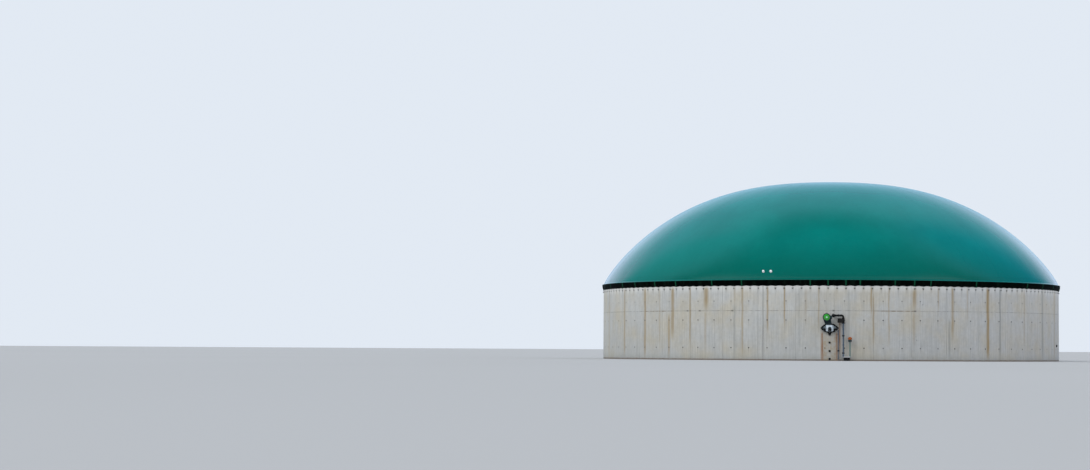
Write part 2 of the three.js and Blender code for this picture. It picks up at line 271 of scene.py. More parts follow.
# The place on the wall at an azimuth: +X along the wall and -Y straight out of it
def wallPlace(azimuth):
    facet = math.floor((azimuth - tank["jointAzimuth"]) / tank["facetDegrees"])
    middle = tank["jointAzimuth"] + (facet + 0.5) * tank["facetDegrees"]
    shift = tank["face"] * math.tan(math.radians(azimuth - middle))
    return turn(middle) @ move(shift, -tank["face"], 0)


def spread(start, end, count):
    return [start + (end - start) * i / (count - 1) for i in range(count)]


# Hands a piece over with a named finish, and hides the frame's nodes that it stands for
def hand(piece, finish, *nodes, smooth=35):
    material, slot = finishes[finish]
    activate(piece)
    bpy.ops.object.shade_smooth_by_angle(angle=math.radians(smooth))
    piece.data.materials.clear()
    piece.data.materials.append(material)
    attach(piece, "root")
    if nodes:
        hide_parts(*nodes)
    return piece


# Finishes

# One output socket, with Python's operators as Math nodes
class Wire:
    def __init__(self, finish, socket):
        self.finish = finish
        self.socket = socket

    def math(self, operation, *values):
        return self.finish.node("ShaderNodeMath", {"operation": operation}, values)

    def __add__(self, other):
        return self.math("ADD", self, other)

    def __radd__(self, other):
        return self.math("ADD", other, self)

    def __sub__(self, other):
        return self.math("SUBTRACT", self, other)

    def __rsub__(self, other):
        return self.math("SUBTRACT", other, self)

    def __mul__(self, other):
        return self.math("MULTIPLY", self, other)

    def __rmul__(self, other):
        return self.math("MULTIPLY", other, self)

    def __truediv__(self, other):
        return self.math("DIVIDE", self, other)

    def __pow__(self, other):
        return self.math("POWER", self, other)

    def __mod__(self, other):
        return self.math("FLOORED_MODULO", self, other)

    def __neg__(self):
        return self.math("MULTIPLY", self, -1)

    def __abs__(self):
        return self.math("ABSOLUTE", self)

    # Rises smoothly from 0 at the first value to 1 at the second, or falls where they are swapped
    def ramp(self, start, end):
        limits = {"Value": self, "From Min": start, "From Max": end}
        return self.finish.node("ShaderNodeMapRange", {"interpolation_type": "SMOOTHSTEP"}, limits)

    def most(self, other):
        return self.math("MAXIMUM", self, other)

    # 1 at a value, fading to 0 on both sides
    def near(self, value, width):
        return abs(self - value).ramp(width, 0)


# A material whose patterns read Object coordinates, and its shader's fixed settings
class Finish:
    def __init__(self, name, tree=None, **settings):
        if tree:
            self.tree = tree
            return
        self.material = bpy.data.materials.new(name)
        self.material.use_nodes = True
        self.tree = self.material.node_tree
        self.shader = self.tree.nodes["Principled BSDF"]
        for socket, value in settings.items():
            self.shader.inputs[socket.replace("_", " ")].default_value = value
        self.place = self.node("ShaderNodeTexCoord", output="Object")
        self.x, self.y, self.z = (
            self.node("ShaderNodeSeparateXYZ", inputs=[self.place], output=axis) for axis in "XYZ"
        )

    def node(self, kind, settings=None, inputs=(), output=0):
        made = self.tree.nodes.new(kind)
        for name, value in (settings or {}).items():
            setattr(made, name, value)
        pairs = inputs.items() if isinstance(inputs, dict) else enumerate(inputs)
        for name, value in pairs:
            self.feed(made.inputs[name], value)
        return Wire(self, made.outputs[output])

    def feed(self, socket, value):
        if isinstance(value, Wire):
            self.tree.links.new(value.socket, socket)
        else:
            socket.default_value = value

    def noise(self, scale, detail=3, roughness=0.5, stretch=(1, 1, 1)):
        place = self.node("ShaderNodeVectorMath", {"operation": "MULTIPLY"}, [self.place, stretch])
        inputs = {"Vector": place, "Scale": scale, "Detail": detail, "Roughness": roughness}
        return self.node("ShaderNodeTexNoise", inputs=inputs)

    def mix(self, share, first, second, blend="MIX"):
        settings = {"data_type": "RGBA", "blend_type": blend}
        return self.node("ShaderNodeMix", settings, {0: share, 6: first, 7: second}, 2)

    # Lays a screen colour over a tint as far as a mask says
    def over(self, tint, mask, shade):
        return self.mix(mask, tint, colour(*shade))

    def tone(self, tint, factor):
        inputs = {0: tint if isinstance(tint, Wire) else tint[:3], "Scale": factor}
        return self.node("ShaderNodeVectorMath", {"operation": "SCALE"}, inputs)

    # Degrees round the tank from its front
    def azimuth(self):
        return self.x.math("ARCTAN2", self.x, -self.y) * math.degrees(1)

    def bump(self, height, distance, strength=1.0):
        inputs = {"Height": height, "Distance": distance, "Strength": strength}
        self.feed(self.shader.inputs["Normal"], self.node("ShaderNodeBump", inputs=inputs))

    def paint(self, **sockets):
        for name, value in sockets.items():
            self.feed(self.shader.inputs[name.replace("_", " ")], value)
        return self.material


# A screen colour of 0 to 255 as a linear one
def colour(*channels):
    linear = [((c / 255 + 0.055) / 1.055) ** 2.4 if c > 10 else c / 255 / 12.92 for c in channels]
    return (*linear, 1)


# Rain runs on the concrete: azimuth, half width in degrees, strength, lower end and upper end
rainRuns = [
    (-71.8, 1.2, 0.30, 0.0, 4.8),
    (-60.3, 0.8, 0.60, 0.0, 4.9),
    (-50.4, 0.75, 0.70, 0.0, 4.9),
    (-44.7, 0.4, 0.35, 0.8, 4.8),
    (-41.4, 0.6, 0.65, 0.0, 2.8),
    (-40.2, 0.85, 0.80, 1.3, 4.9),
    (-34.7, 0.4, 0.65, 0.8, 4.9),
    (-30.1, 1.05, 0.80, 3.0, 4.9),
    (-30.3, 0.6, 0.35, 0.6, 3.0),
    (-22.4, 0.3, 0.40, 3.2, 4.9),
    (-20.5, 0.4, 0.60, 0.3, 4.9),
    (-14.3, 0.4, 0.60, 1.6, 4.9),
    (-10.25, 0.32, 0.80, 2.0, 4.9),
    (-5.3, 0.6, 0.30, 2.2, 4.4),
    (-2.3, 0.3, 0.45, 1.8, 4.9),
    (9.8, 0.3, 0.80, 2.6, 4.9),
    (10.3, 0.4, 0.65, 0.9, 4.0),
    (13.95, 0.28, 0.50, 0.9, 4.9),
    (20.1, 0.85, 0.70, 3.0, 4.4),
    (20.0, 0.6, 0.35, 0.9, 3.0),
    (26.2, 0.3, 0.50, 2.9, 4.9),
    (30.0, 0.6, 0.80, 1.3, 4.9),
    (34.2, 0.35, 0.35, 2.4, 4.8),
    (40.4, 0.8, 0.95, 0.0, 4.9),
    (54.0, 0.5, 0.40, 1.0, 4.8),
    (73.6, 1.0, 0.45, 0.0, 4.9),
]
greyRuns = [
    (-22.5, 0.5, 0.40, 0.0, 3.4),
    (-6.8, 0.4, 0.25, 0.4, 4.6),
    (4.6, 0.5, 0.25, 0.6, 4.4),
    (29.1, 0.5, 0.45, 0.0, 2.6),
    (44.5, 0.5, 0.55, 0.0, 4.9),
    (63.5, 0.8, 0.50, 0.0, 4.9),
]
concrete = {
    "cool": (178, 180, 179),
    "warm": (176, 172, 160),
    "ochre": (147, 127, 90),
    "grey": (116, 121, 118),
    "rust": (134, 97, 68),
    "dark": (52, 54, 54),
    "pale": (212, 213, 211),
    "soilAndShade": (92, 74, 60),
    "stain": (118, 102, 76),
    "pourJoint": 3.08,
    "tieOffset": 2.25,
    "tieHeights": (0.78, 2.5, 3.68),
    "hookHeight": 4.48,
    "markHalf": 0.27,
    "markLength": 0.13,
    "rustRuns": ((-1.51, 1.85), (1.86, 1.85), (2.53, 2.5)),  # azimuth and top
    "stainedPour": ((-50.0, -40.5), (10.5, 20.0)),  # azimuths
    "jointMarks": (-35.5, -31.9, -23.1, 1.1, 20.3),  # azimuths
}


def weatheredConcrete():
    finish = Finish("weathered_concrete", Roughness=0.88)
    z = finish.z
    azimuth = finish.azimuth()
    cloud = finish.noise(0.5, 5, 0.6)
    mottle = finish.noise(4.5, 5, 0.6)
    grain = finish.noise(42, 3, 0.6)
    streak = finish.noise(3.2, 5, 0.62, (1, 1, 0.035))
    fine = finish.noise(15, 3, 0.6, (1, 1, 0.05))
    thin = finish.noise(38, 2, 0.5, (1, 1, 0.015))

    # Each formwork panel has a tone of its own, in two lifts
    degrees, metres = tank["panelDegrees"], tank["metresPerDegree"]
    panel = ((azimuth - tank["firstPanelJoint"]) / degrees) % (360 / degrees)
    lift = z.math("GREATER_THAN", z, concrete["pourJoint"])
    index = z.math("FLOOR", panel) * 2 + lift
    tone = finish.node("ShaderNodeTexWhiteNoise", {"noise_dimensions": "1D"}, {"W": index})
    # The tone also falls towards the bottom of the wall: painted shade.
    shade = 0.56 + cloud * 0.18 + mottle * 0.30 + streak * 0.2 + tone * 0.05 + z.ramp(0, 4.9) * 0.13
    shade = shade + (fine - 0.5) * 0.42 + (thin - 0.5) * 0.3 + (grain - 0.5) * 0.08
    tint = finish.mix(cloud.ramp(0.35, 0.7), colour(*concrete["cool"]), colour(*concrete["warm"]))
    tint = finish.tone(tint, shade)

    # Paler concrete under the skirt, most of all between two lacing hooks
    swing = abs((azimuth - tank["hookAzimuth"]) / tank["hookDegrees"] % 1 - 0.5)
    aside = (0.5 - swing) * tank["hookDegrees"]  # degrees from the nearest hook
    underHem = (z + (mottle - 0.5) * 0.08).ramp(4.44, 4.56)
    paleBand = z.ramp(4.1, 4.55) * (aside.ramp(0.1, 0.5) * 0.6).most(underHem * 0.8)
    tint = finish.over(tint, paleBand, concrete["pale"])

    # Runs keep to named azimuths, and those of the front come again behind
    wobble = (finish.noise(1.3, 2, 0.5, (0.2, 0.2, 1)) - 0.5) * 0.3
    half = (azimuth + 90) % 180 - 90 + wobble
    ragged = (fine * 0.6 + streak * 0.9).ramp(0.5, 0.95)
    for runs, name in ((rainRuns, "ochre"), (greyRuns, "grey")):
        mask = None
        for centre, width, strength, lower, upper in runs:
            run = half.near(centre, width) * z.ramp(lower - 0.3, lower + 0.9)
            run = run * z.ramp(upper + 0.25, upper - 0.25) * strength
            mask = run if mask is None else mask.most(run)
        mask = mask * (0.66 + 0.6 * ragged) * (1 - 0.6 * underHem)
        tint = finish.over(tint, mask, concrete[name])
    soft = streak.ramp(0.56, 0.8) * z.ramp(0.4, 4.6) * 0.3
    tint = finish.over(tint, soft, concrete["ochre"])

    # A dark mark that narrows downwards at each lacing hook: dirt, and a painted shadow of the hook
    drop = concrete["hookHeight"] + 0.03 - z
    narrowing = concrete["markHalf"] * (1 - drop / concrete["markLength"]) + (mottle + fine - 1) * 0.3
    mark = (narrowing - aside).ramp(-0.05, 0.08) * drop.ramp(-0.01, 0.02) * (0.5 + 0.8 * mottle)
    trail = aside.ramp(0.12, 0) * drop.ramp(1.6, 0.1) * drop.ramp(-0.02, 0.02) * fine.ramp(0.45, 0.62)
    tint = finish.over(tint, (mark * 0.95).most(trail * 0.4), concrete["dark"])

    # Panel joints, the pour joint, the one casting joint that shows, and the tie holes
    toJoint = (0.5 - abs(panel % 1 - 0.5)) * degrees
    joint = toJoint.ramp(0.07, 0.02) * mottle.ramp(0.3, 0.6) * 0.3
    pour = z.near(concrete["pourJoint"], 0.035) * mottle.ramp(0.35, 0.65) * 0.5
    cast = azimuth.near(tank["jointAzimuth"], 0.13) * (0.55 + 0.6 * mottle)
    for start, end in concrete["stainedPour"]:
        stretch = azimuth.ramp(start - 0.5, start + 0.5) * azimuth.ramp(end + 0.5, end - 0.5)
        line = z.near(concrete["pourJoint"] - 0.005, 0.055)
        line = line * (0.6 * mottle + 0.75 * streak.ramp(0.38, 0.62) - 0.1)
        tint = finish.over(tint, stretch * line, concrete["stain"])
    holes = None
    for height in concrete["tieHeights"]:
        across = (toJoint - concrete["tieOffset"]) * metres
        away = (across * across + (z - height) ** 2) ** 0.5
        hole = away.ramp(0.06, 0.02) * (1.0 if height < 3 else 0.6)
        below = abs(across).ramp(0.03, 0) * z.ramp(height - 0.5, height) * z.ramp(height + 0.02, height)
        hole = hole.most(below * 0.35)
        holes = hole if holes is None else holes.most(hole)
    holes = holes * (0.45 + 0.6 * mottle.ramp(0.36, 0.56))
    blots = finish.noise(5.5, 2).ramp(0.73, 0.80) * 0.5
    for centre in concrete["jointMarks"]:
        blots = blots.most(azimuth.near(centre, 0.6) * z.near(concrete["pourJoint"], 0.08))
    marks = joint.most(pour).most(cast * 0.8).most(holes).most(blots * 0.75)
    tint = finish.over(tint, marks, concrete["dark"])

    # Splashed foot, the ochre-tinted strip below the drive, and the rust runs beside it
    foot = z.ramp(0.55, 0.0) * mottle.ramp(0.3, 0.65) * 0.45
    tint = finish.over(tint, foot, concrete["grey"])
    # A dark soil line at the very foot, which is also painted contact shade where the wall meets the floor.
    soilAndShade = (z + (mottle - 0.5) * 0.12).ramp(0.13, 0.03) * 0.75
    tint = finish.over(tint, soilAndShade, concrete["soilAndShade"])
    under = azimuth.ramp(-2.2, -1.2) * azimuth.ramp(2.9, 1.6) * z.ramp(2.0, 1.2)
    under = under * (mottle * 0.7 + fine * 0.5).ramp(0.42, 0.78)
    tint = finish.over(tint, under * 0.6, concrete["ochre"])
    sway = (streak - 0.5) * 0.3 + (mottle - 0.5) * 0.15
    for centre, top in concrete["rustRuns"]:
        off = abs(azimuth - centre + sway)
        core = off.ramp(0.27, 0.07) * (0.4 + 0.8 * thin.ramp(0.35, 0.6))
        rust = core.most(off.ramp(0.6, 0.1) * ragged * 0.5)
        rust = rust * z.ramp(top, top - 0.25) * z.ramp(top - 2.85, top - 0.95) * (0.5 + 0.9 * fine)
        tint = finish.over(tint, rust, concrete["rust"])

    finish.bump(grain * 0.4 + mottle, 0.004)
    return finish.paint(Base_Color=tint, Roughness=0.8 + 0.15 * mottle)


membrane = {
    "deep": (0, 108, 101),
    "light": (0, 118, 111),
    # foot: a darker tint for the low dome, which is painted shade
    "foot": (0, 96, 86),
    "dust": (120, 140, 138),
    "shadedFootHeights": (5.0, 8.0),
}


def coatedMembrane():
    finish = Finish("coated_membrane")
    cloud = finish.noise(0.25, 4, 0.55)
    run = finish.noise(0.9, 5, 0.6, (1, 1, 0.22))
    dust = finish.noise(2.4, 5, 0.65, (1, 1, 0.3))
    tint = finish.mix(cloud.ramp(0.3, 0.7), colour(*membrane["deep"]), colour(*membrane["light"]))
    # The membrane is painted darker towards its foot: painted shade, as its real tint is even.
    low, high = membrane["shadedFootHeights"]
    tint = finish.over(tint, finish.z.ramp(high, low), membrane["foot"])
    drip = finish.noise(4.5, 4, 0.6, (1, 1, 0.04))
    tint = finish.tone(tint, 0.88 + run * 0.1 + drip * 0.14)
    tint = finish.over(tint, dust.ramp(0.6, 0.85) * 0.015, membrane["dust"])
    weave = finish.noise(260, 1, 0.4)
    finish.bump(run * 0.5 + weave * 0.02, 0.006)
    return finish.paint(Base_Color=tint, Roughness=0.08 + run * 0.08 + drip * 0.04)


def blackSheet():
    finish = Finish("black_skirt_sheet", Specular_IOR_Level=0.01)
    run = finish.noise(5, 4, 0.6, (1, 1, 0.15))
    # The lighter dark-green streaks are painted sheen along the folds of the black sheet.
    tint = finish.mix(run.ramp(0.42, 0.75), colour(2, 5, 4), colour(11, 22, 17))
    finish.bump(finish.noise(160, 2), 0.0015)
    return finish.paint(Base_Color=tint, Roughness=0.5 + run * 0.25)


# Paint, plastic or zinc on a small piece: mottled, streaked with dirt and rubbed along its edges
def coating(name, base, roughness=0.4, metallic=0.0, coat=0.0, dirt=(92, 84, 70), dirty=0.35,
            worn=None, rust=0.0, specular=0.5):
    finish = Finish(name, Metallic=metallic, Coat_Weight=coat, Specular_IOR_Level=specular)
    mottle = finish.noise(9, 4, 0.6)
    streak = finish.noise(26, 4, 0.6, (1, 1, 0.12))
    speck = finish.noise(60, 4, 0.65)
    tint = finish.tone(colour(*base), 0.84 + mottle * 0.32)
    grime = (streak * 0.6 + mottle * 0.5).ramp(0.5, 0.8) * dirty
    tint = finish.over(tint, grime, dirt)
    if worn:
        edge = finish.node("ShaderNodeNewGeometry", output="Pointiness")
        tint = finish.over(tint, edge.ramp(0.53, 0.62) * speck.ramp(0.4, 0.6), worn)
    if rust:
        patch = (speck * 0.5 + streak * 0.6).ramp(0.62, 0.72) * rust
        tint = finish.over(tint, patch, (96, 52, 30))
    finish.bump(speck, 0.0012)
    return finish.paint(Base_Color=tint, Roughness=roughness + grime * 0.5 + (mottle - 0.5) * 0.15)


# Each finish has its material and the slot that it belongs to
finishes = {
    "concrete": (weatheredConcrete(), "concrete"),
    "membrane": (coatedMembrane(), "membrane"),
    "sheet": (blackSheet(), "skirt"),
    "strap": (coating("strap_fabric", (4, 70, 46), 0.6, specular=0.1, dirty=0.04), "membrane"),
    "lacing": (coating("lacing_cord", (186, 188, 184), 0.8, specular=0.2, dirty=0.15), "skirt"),
    "zinc": (coating("zinc_steel", (150, 156, 160), 0.5, 0.7, rust=0.25, dirty=0.3), "galvanised"),
    # Zinc plate, made paler and bluer than bare zinc as a painted highlight.
    "plate": (coating("zinc_plate_and_highlight", (196, 214, 222), 0.45, 0.15, rust=0.12, dirty=0.2), "galvanised"),
    "darkSteel": (coating(
        "dark_steel", (10, 12, 16), 0.5, 0.2, dirt=(50, 45, 40), rust=0.25, worn=(66, 62, 58), specular=0.2
    ), "dark_steel"),
    "gearPaint": (coating(
        "dark_teal_paint", (8, 34, 42), 0.35, coat=0.15, dirt=(46, 54, 54), worn=(58, 74, 76), specular=0.35
    ), "gear_teal"),
    "palePaint": (coating("pale_paint", (214, 226, 236), 0.4, coat=0.2, rust=0.12, dirty=0.2), "galvanised"),
    "motorPaint": (coating("green_motor_paint", (38, 160, 34), 0.3, coat=0.6, dirty=0.15), "motor_green"),
    # The pale hub is a painted highlight of the glossy green hood.
    "hubHighlightPaint": (coating("hub_painted_highlight", (168, 206, 190), 0.3, coat=0.4, dirty=0.1), "galvanised"),
    "pipePaint": (coating("blue_grey_pipe", (76, 92, 110), 0.4, 0.2, rust=0.2, dirty=0.35), "pipe_grey"),
    "blackPlastic": (coating(
        "black_plastic", (11, 13, 16), 0.45, dirt=(54, 50, 46), dirty=0.2, specular=0.25
    ), "black_plastic"),
    "whitePlastic": (coating("white_plastic", (226, 228, 232), 0.3, coat=0.3, dirty=0.2), "white_plastic"),
    "portPlastic": (coating("port_plastic", (248, 248, 250), 0.25, coat=0.4, dirty=0.05), "white_plastic"),
    "polePaint": (coating("grey_pole_paint", (102, 122, 118), 0.45, rust=0.1, dirty=0.3), "pipe_grey"),
    "orangePlastic": (coating("orange_plastic", (150, 74, 8), 0.45, dirty=0.25), "orange_plastic"),
}
print("finishes made")


# Camera, light and floor

studio = {
    "cameraPlace": (0, -166.754, 0.6535),
    "yaw": 0.1157,
    "pitch": 0.0464,
    "roll": 0.0058,
    "lens": 80.74,
    "backdrop": (0.76, 0.82, 0.90),
    "softLight": (0.86, 0.89, 0.93),
    "leftLight": (1.30, 1.32, 1.36),
    "rightLight": (1.26, 1.29, 1.46),
    "above": (0.01, 0.03, 0.05),
    "haze": (0.28, 0.60, 0.84),
    "left": (0.14, 0.70, 0.82),
    "right": (0.03, 0.43, 0.74),
    "glow": (0.95, 1.10, 1.45),
    "front": (0.55, 0.60, 0.66),
    "leftEdge": (36, 50),  # degrees to the left of straight ahead
    "rightEdge": (-18, -45),
    "sunStrength": 0.9,
    "sunAngle": 30,
    "sunTurn": (48, -38),  # degrees down from overhead and round
    "sunTint": (1.0, 0.985, 0.96),
    "floor": (176, 178, 180),
}


# A plain backdrop and even light, with a graded sky that only reflections see
def makeSky():
    world = bpy.data.worlds.new("pale_sky")
    world.use_nodes = True
    sky = Finish("sky", tree=world.node_tree)
    way = sky.node("ShaderNodeTexCoord", output="Generated")
    x, y, z = (sky.node("ShaderNodeSeparateXYZ", inputs=[way], output=axis) for axis in "XYZ")
    names = ("backdrop", "softLight", "leftLight", "rightLight", "above", "haze", "left", "right")
    tones = {name: (*studio[name], 1) for name in (*names, "glow", "front")}
    aside = x.math("ARCTAN2", -x, y) * math.degrees(1)  # degrees to the left of straight ahead
    toLeft, toRight = aside.ramp(*studio["leftEdge"]), aside.ramp(*studio["rightEdge"])
    low = z.ramp(0.985, 0.8)
    gloss = sky.mix(low * y.ramp(-0.1, 0.35), tones["above"], tones["haze"])
    gloss = sky.mix(low * y.ramp(0.0, 0.35) * toLeft, gloss, tones["left"])
    gloss = sky.mix(low * y.ramp(0.0, 0.35) * toRight, gloss, tones["right"])
    glow = z.ramp(0.6, 0.15) * (1 - toLeft) * (1 - toRight) * (0.3 + 0.7 * abs(aside).ramp(3, 18))
    gloss = sky.mix(glow, gloss, tones["glow"])
    gloss = sky.mix(z.ramp(0.85, 0.6) * y.ramp(0.0, -0.3), gloss, tones["front"])
    seen = sky.node("ShaderNodeLightPath", output="Is Camera Ray")
    mirrored = sky.node("ShaderNodeLightPath", output="Is Glossy Ray")
    tint = sky.mix(x.ramp(-0.35, -0.95), tones["softLight"], tones["leftLight"])
    tint = sky.mix(x.ramp(0.35, 0.95), tint, tones["rightLight"])
    tint = sky.mix(seen, tint, tones["backdrop"])
    tint = sky.mix(mirrored, tint, gloss)
    sky.feed(world.node_tree.nodes["Background"].inputs["Color"], tint)
    bpy.context.scene.world = world


def makeStudio():
    bpy.ops.object.camera_add(location=studio["cameraPlace"])
    camera = bpy.context.active_object
    yaw, pitch = studio["yaw"], studio["pitch"]
    ahead = Vector((-math.sin(yaw) * math.cos(pitch), math.cos(yaw) * math.cos(pitch), math.sin(pitch)))
    roll = Quaternion((0, 0, 1), studio["roll"])
    camera.rotation_mode = "QUATERNION"
    camera.rotation_quaternion = ahead.to_track_quat("-Z", "Y") @ roll
    camera.data.sensor_fit = "HORIZONTAL"
    camera.data.sensor_width = 36
    camera.data.lens = studio["lens"]
    camera.data.clip_end = 5000
    bpy.context.scene.camera = camera

    slope, heading = (math.radians(angle) for angle in studio["sunTurn"])
    bpy.ops.object.light_add(type="SUN", rotation=(slope, 0, heading))
    lamp = bpy.context.active_object
    lamp.visible_glossy = False  # the sky alone shows in the gloss
    lamp.data.energy = studio["sunStrength"]
    lamp.data.angle = math.radians(studio["sunAngle"])
    lamp.data.color = studio["sunTint"]
    makeSky()

    floor = primitive("plane", "studio_floor", size=8000, location=(0, 0, -0.001))
    finish = Finish("pale_floor", Roughness=0.9, Specular_IOR_Level=0.1)
    cloud = finish.noise(0.02, 3)
    tint = finish.tone(colour(*studio["floor"]), 0.97 + cloud * 0.06)
    floor.data.materials.append(finish.paint(Base_Color=tint))
    bpy.context.scene.view_settings.view_transform = "Standard"


makeStudio()
print("studio ready")


# Concrete wall and slab

wall = {
    "steps": 36,
    "joint": 0.003,
    "grooveDepth": 0.006,
    "grooveHalf": 0.010,
    "edge": 0.012,
    "tieRadius": 0.017,
    "tieDepth": 0.03,
}


def panelCutters():
    cutters = []
    first = tank["firstPanelJoint"] - tank["panelDegrees"] - tank["jointAzimuth"]
    side = wall["grooveDepth"] * math.sqrt(2)
    for panel in range(round(tank["sectionDegrees"] / tank["panelDegrees"])):
        azimuth = first + panel * tank["panelDegrees"]
        groove = primitive(
            "cube", "groove", size=1, scale=(side, side, tank["crown"] + 1), rotation=(0, 0, math.pi / 4)
        )
        cutters.append(settle(groove, turn(azimuth) @ move(0, -tank["face"], tank["crown"] / 2)))
        for offset in (-concrete["tieOffset"], concrete["tieOffset"]):
            for height in concrete["tieHeights"]:
                hole = primitive(
                    "cone", "tie_hole", vertices=12, depth=wall["tieDepth"] * 2,
                    radius1=wall["tieRadius"] * 1.4, radius2=wall["tieRadius"] * 0.6,
                )
                place = turn(azimuth + offset) @ move(0, -tank["face"], height)
                cutters.append(settle(hole, place @ turn(-90, "X")))
    return cutters


# One cast section is modelled with its joints and tie holes, and the others are copies
def makeWall():
    face, inner = tank["face"], tank["radius"] - tank["wallThickness"]
    pour, half, edge = concrete["pourJoint"], wall["grooveHalf"], wall["edge"]
    profile = [
        (inner, 0),
        (face, 0),
        (face, pour - half),
        (face - wall["grooveDepth"], pour),
        (face, pour + half),
        (face, tank["crown"] - edge),
        (face - edge, tank["crown"]),
        (inner, tank["crown"]),
    ]
    section = drawn("concrete_wall_01", profile)
    trim = math.degrees(wall["joint"] / tank["radius"])
    with editing(section):
        bpy.ops.mesh.edge_face_add()
        spin(tank["sectionDegrees"] - trim, wall["steps"])
        closeUp()
    settle(section, turn(-90 + trim / 2))
    cut(section, *panelCutters())
    settle(section, turn(tank["jointAzimuth"]))
    sections = [section]
    for i in range(1, tank["sections"]):
        name = f"concrete_wall_{i + 1:02d}"
        sections.append(copyOf(section, name, turn(i * tank["sectionDegrees"])))
    for i, piece in enumerate(sections):
        hand(piece, "concrete", f"wall_section_{i + 1:02d}", smooth=20)
    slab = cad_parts["base_slab"]
    slab.data.materials.clear()
    slab.data.materials.append(finishes["concrete"][0])


makeWall()
print("wall cast")


# Roof membrane

roof = {
    "radius": 15.22,
    "spring": 5.03,
    "rise": 6.903,
    "fullness": 2.564,
    "shoulder": 1.199,
    "turnDegrees": 3,
    "turnStart": (15.272, 4.999),  # radius and height
    "turnControl": (15.222, 5.033),
    "shell": 0.04,
    "footRadius": 15.345,
    "gores": 40,
    "sidesPerGore": 8,
    "goreBulge": 0.004,
    "goreSink": 0.003,
    "goreEnd": 15.2,
    "seamTopRadius": 0.8,
    "seamWidth": 0.05,
    "seamRise": 0.002,
    "ringSeams": {"roof_foot_seam": 4.2, "roof_ring_seam": 7.6},
    "ringSeamDegrees": 0.55,
    "crownPatchDegrees": 3.2,
}


def roofPoint(degrees, inset=0.0):
    share = math.cos(math.radians(degrees)) ** 2
    radius = (roof["radius"] - inset) * share ** (1 / roof["fullness"])
    height = (roof["rise"] - inset) * (1 - share) ** (1 / roof["shoulder"])
    return radius, roof["spring"] + height


# The angle of the roof's outward normal above the horizon
def roofTilt(degrees):
    lowRadius, lowHeight = roofPoint(degrees - 0.2)
    highRadius, highHeight = roofPoint(degrees + 0.2)
    return math.degrees(math.atan2(lowRadius - highRadius, highHeight - lowHeight))


# The turn at the foot runs from the flat clamped edge up into the dome in one bend
def footTurn(count):
    start, control = Vector(roof["turnStart"]), Vector(roof["turnControl"])
    end = Vector(roofPoint(roof["turnDegrees"]))
    points = []
    for t in spread(0, 1, count):
        points.append(tuple(start * (1 - t) ** 2 + control * 2 * t * (1 - t) + end * t * t))
    return points


# The outer face from the turn to just short of the crown, which the seams follow too
def roofFace():
    return footTurn(7) + [roofPoint(angle) for angle in spread(roof["turnDegrees"], 90, 66)[1:-1]]


def makeRoof():
    seat = tank["crown"] + tank["seat"]
    inner = [roofPoint(angle, roof["shell"]) for angle in spread(90, roof["turnDegrees"], 26)[1:]]
    foot = [
        (roof["radius"] - 0.12, seat),
        (roof["footRadius"] - 0.004, seat),
        (roof["footRadius"], seat + 0.004),
        (roof["footRadius"], seat + 0.014),
        (roof["footRadius"] - 0.004, seat + 0.018),
    ]
    top = roof["spring"] + roof["rise"]
    profile = [(0, top - roof["shell"]), *inner, *foot, *roofFace(), (0, top)]
    piece = turned("roof_membrane", profile, roof["gores"] * roof["sidesPerGore"])
    # Air pressure rounds each gore out between its two welds
    for vertex in piece.data.vertices:
        place = vertex.co
        flat = math.hypot(place.x, place.y)
        if flat < 1 or flat > roof["goreEnd"]:
            continue
        around = math.degrees(math.atan2(place.x, -place.y)) / 360 * roof["gores"] % 1
        swell = roof["goreBulge"] * math.sin(math.pi * around) * min(1, flat / 8) - roof["goreSink"]
        place.x *= 1 + swell / flat
        place.y *= 1 + swell / flat
    hand(piece, "membrane", "outer_membrane", smooth=40)


def makeSeams():
    half, rise = roof["seamWidth"] / 2, roof["seamRise"]
    path = [point for point in roofFace() if point[0] > roof["seamTopRadius"]]
    sunk = [(r - roof["goreSink"] * (r < roof["goreEnd"]), z) for r, z in path]
    seam = drawn("roof_weld_seams", sunk)
    with editing(seam):
        bpy.ops.transform.translate(value=(0, -half, 0))
        extrude(0, 2 * half, 0)
        bpy.ops.mesh.select_all(action="SELECT")
        bpy.ops.mesh.normals_make_consistent(inside=False)
    modify(seam, "SOLIDIFY", thickness=2 * rise, offset=0)
    settle(seam, turn(-90))
    with editing(seam):
        count = roof["gores"]
        spin(360 * (count - 1) / count, count - 1, copies=True)
        closeUp()
    hand(seam, "membrane")
    for name, low in roof["ringSeams"].items():
        lower, upper = (Vector(roofPoint(low + step)) for step in (0, roof["ringSeamDegrees"]))
        out = Vector((upper.y - lower.y, lower.x - upper.x)).normalized() * 0.004
        profile = [lower - out, lower + out, upper + out, upper - out, lower - out]
        hand(turned(name, [tuple(point) for point in profile], 240), "membrane")
    top = roof["spring"] + roof["rise"]
    edge = [roofPoint(angle) for angle in spread(90, 90 - roof["crownPatchDegrees"], 6)[1:]]
    patch = [(0, top - 0.004), *[(r, z - 0.006) for r, z in edge]]
    patch += [(r, z + 0.001) for r, z in reversed(edge)] + [(0, top - 0.0005)]
    crown = turned("roof_crown_patch", patch, 80)
    hand(crown, "membrane")


makeRoof()
makeSeams()
print("roof inflated")


# Skirt

skirt = {
    "top": 4.9785,
    "drop": 0.3785,
    "scallop": 0.045,
    "topRadius": 15.338,
    "hemRadius": 15.268,
    "thickness": 0.004,
    "rows": 12,
    "stepsPerScallop": 10,
    "hemRope": 0.008,
    "strapWidth": 0.10,
    "strapThickness": 0.003,
    "strapReach": 0.94,
    "strapRadius": 15.346,
    "hookPinch": 0.16,  # of the way between two hooks
    "pinchDepth": 0.006,
    "belly": 0.010,
    "slack": 0.008,
    "crease": 0.005,
}


def polar(azimuth, radius, height):
    angle = math.radians(azimuth)
    return Vector((radius * math.sin(angle), -radius * math.cos(angle), height))


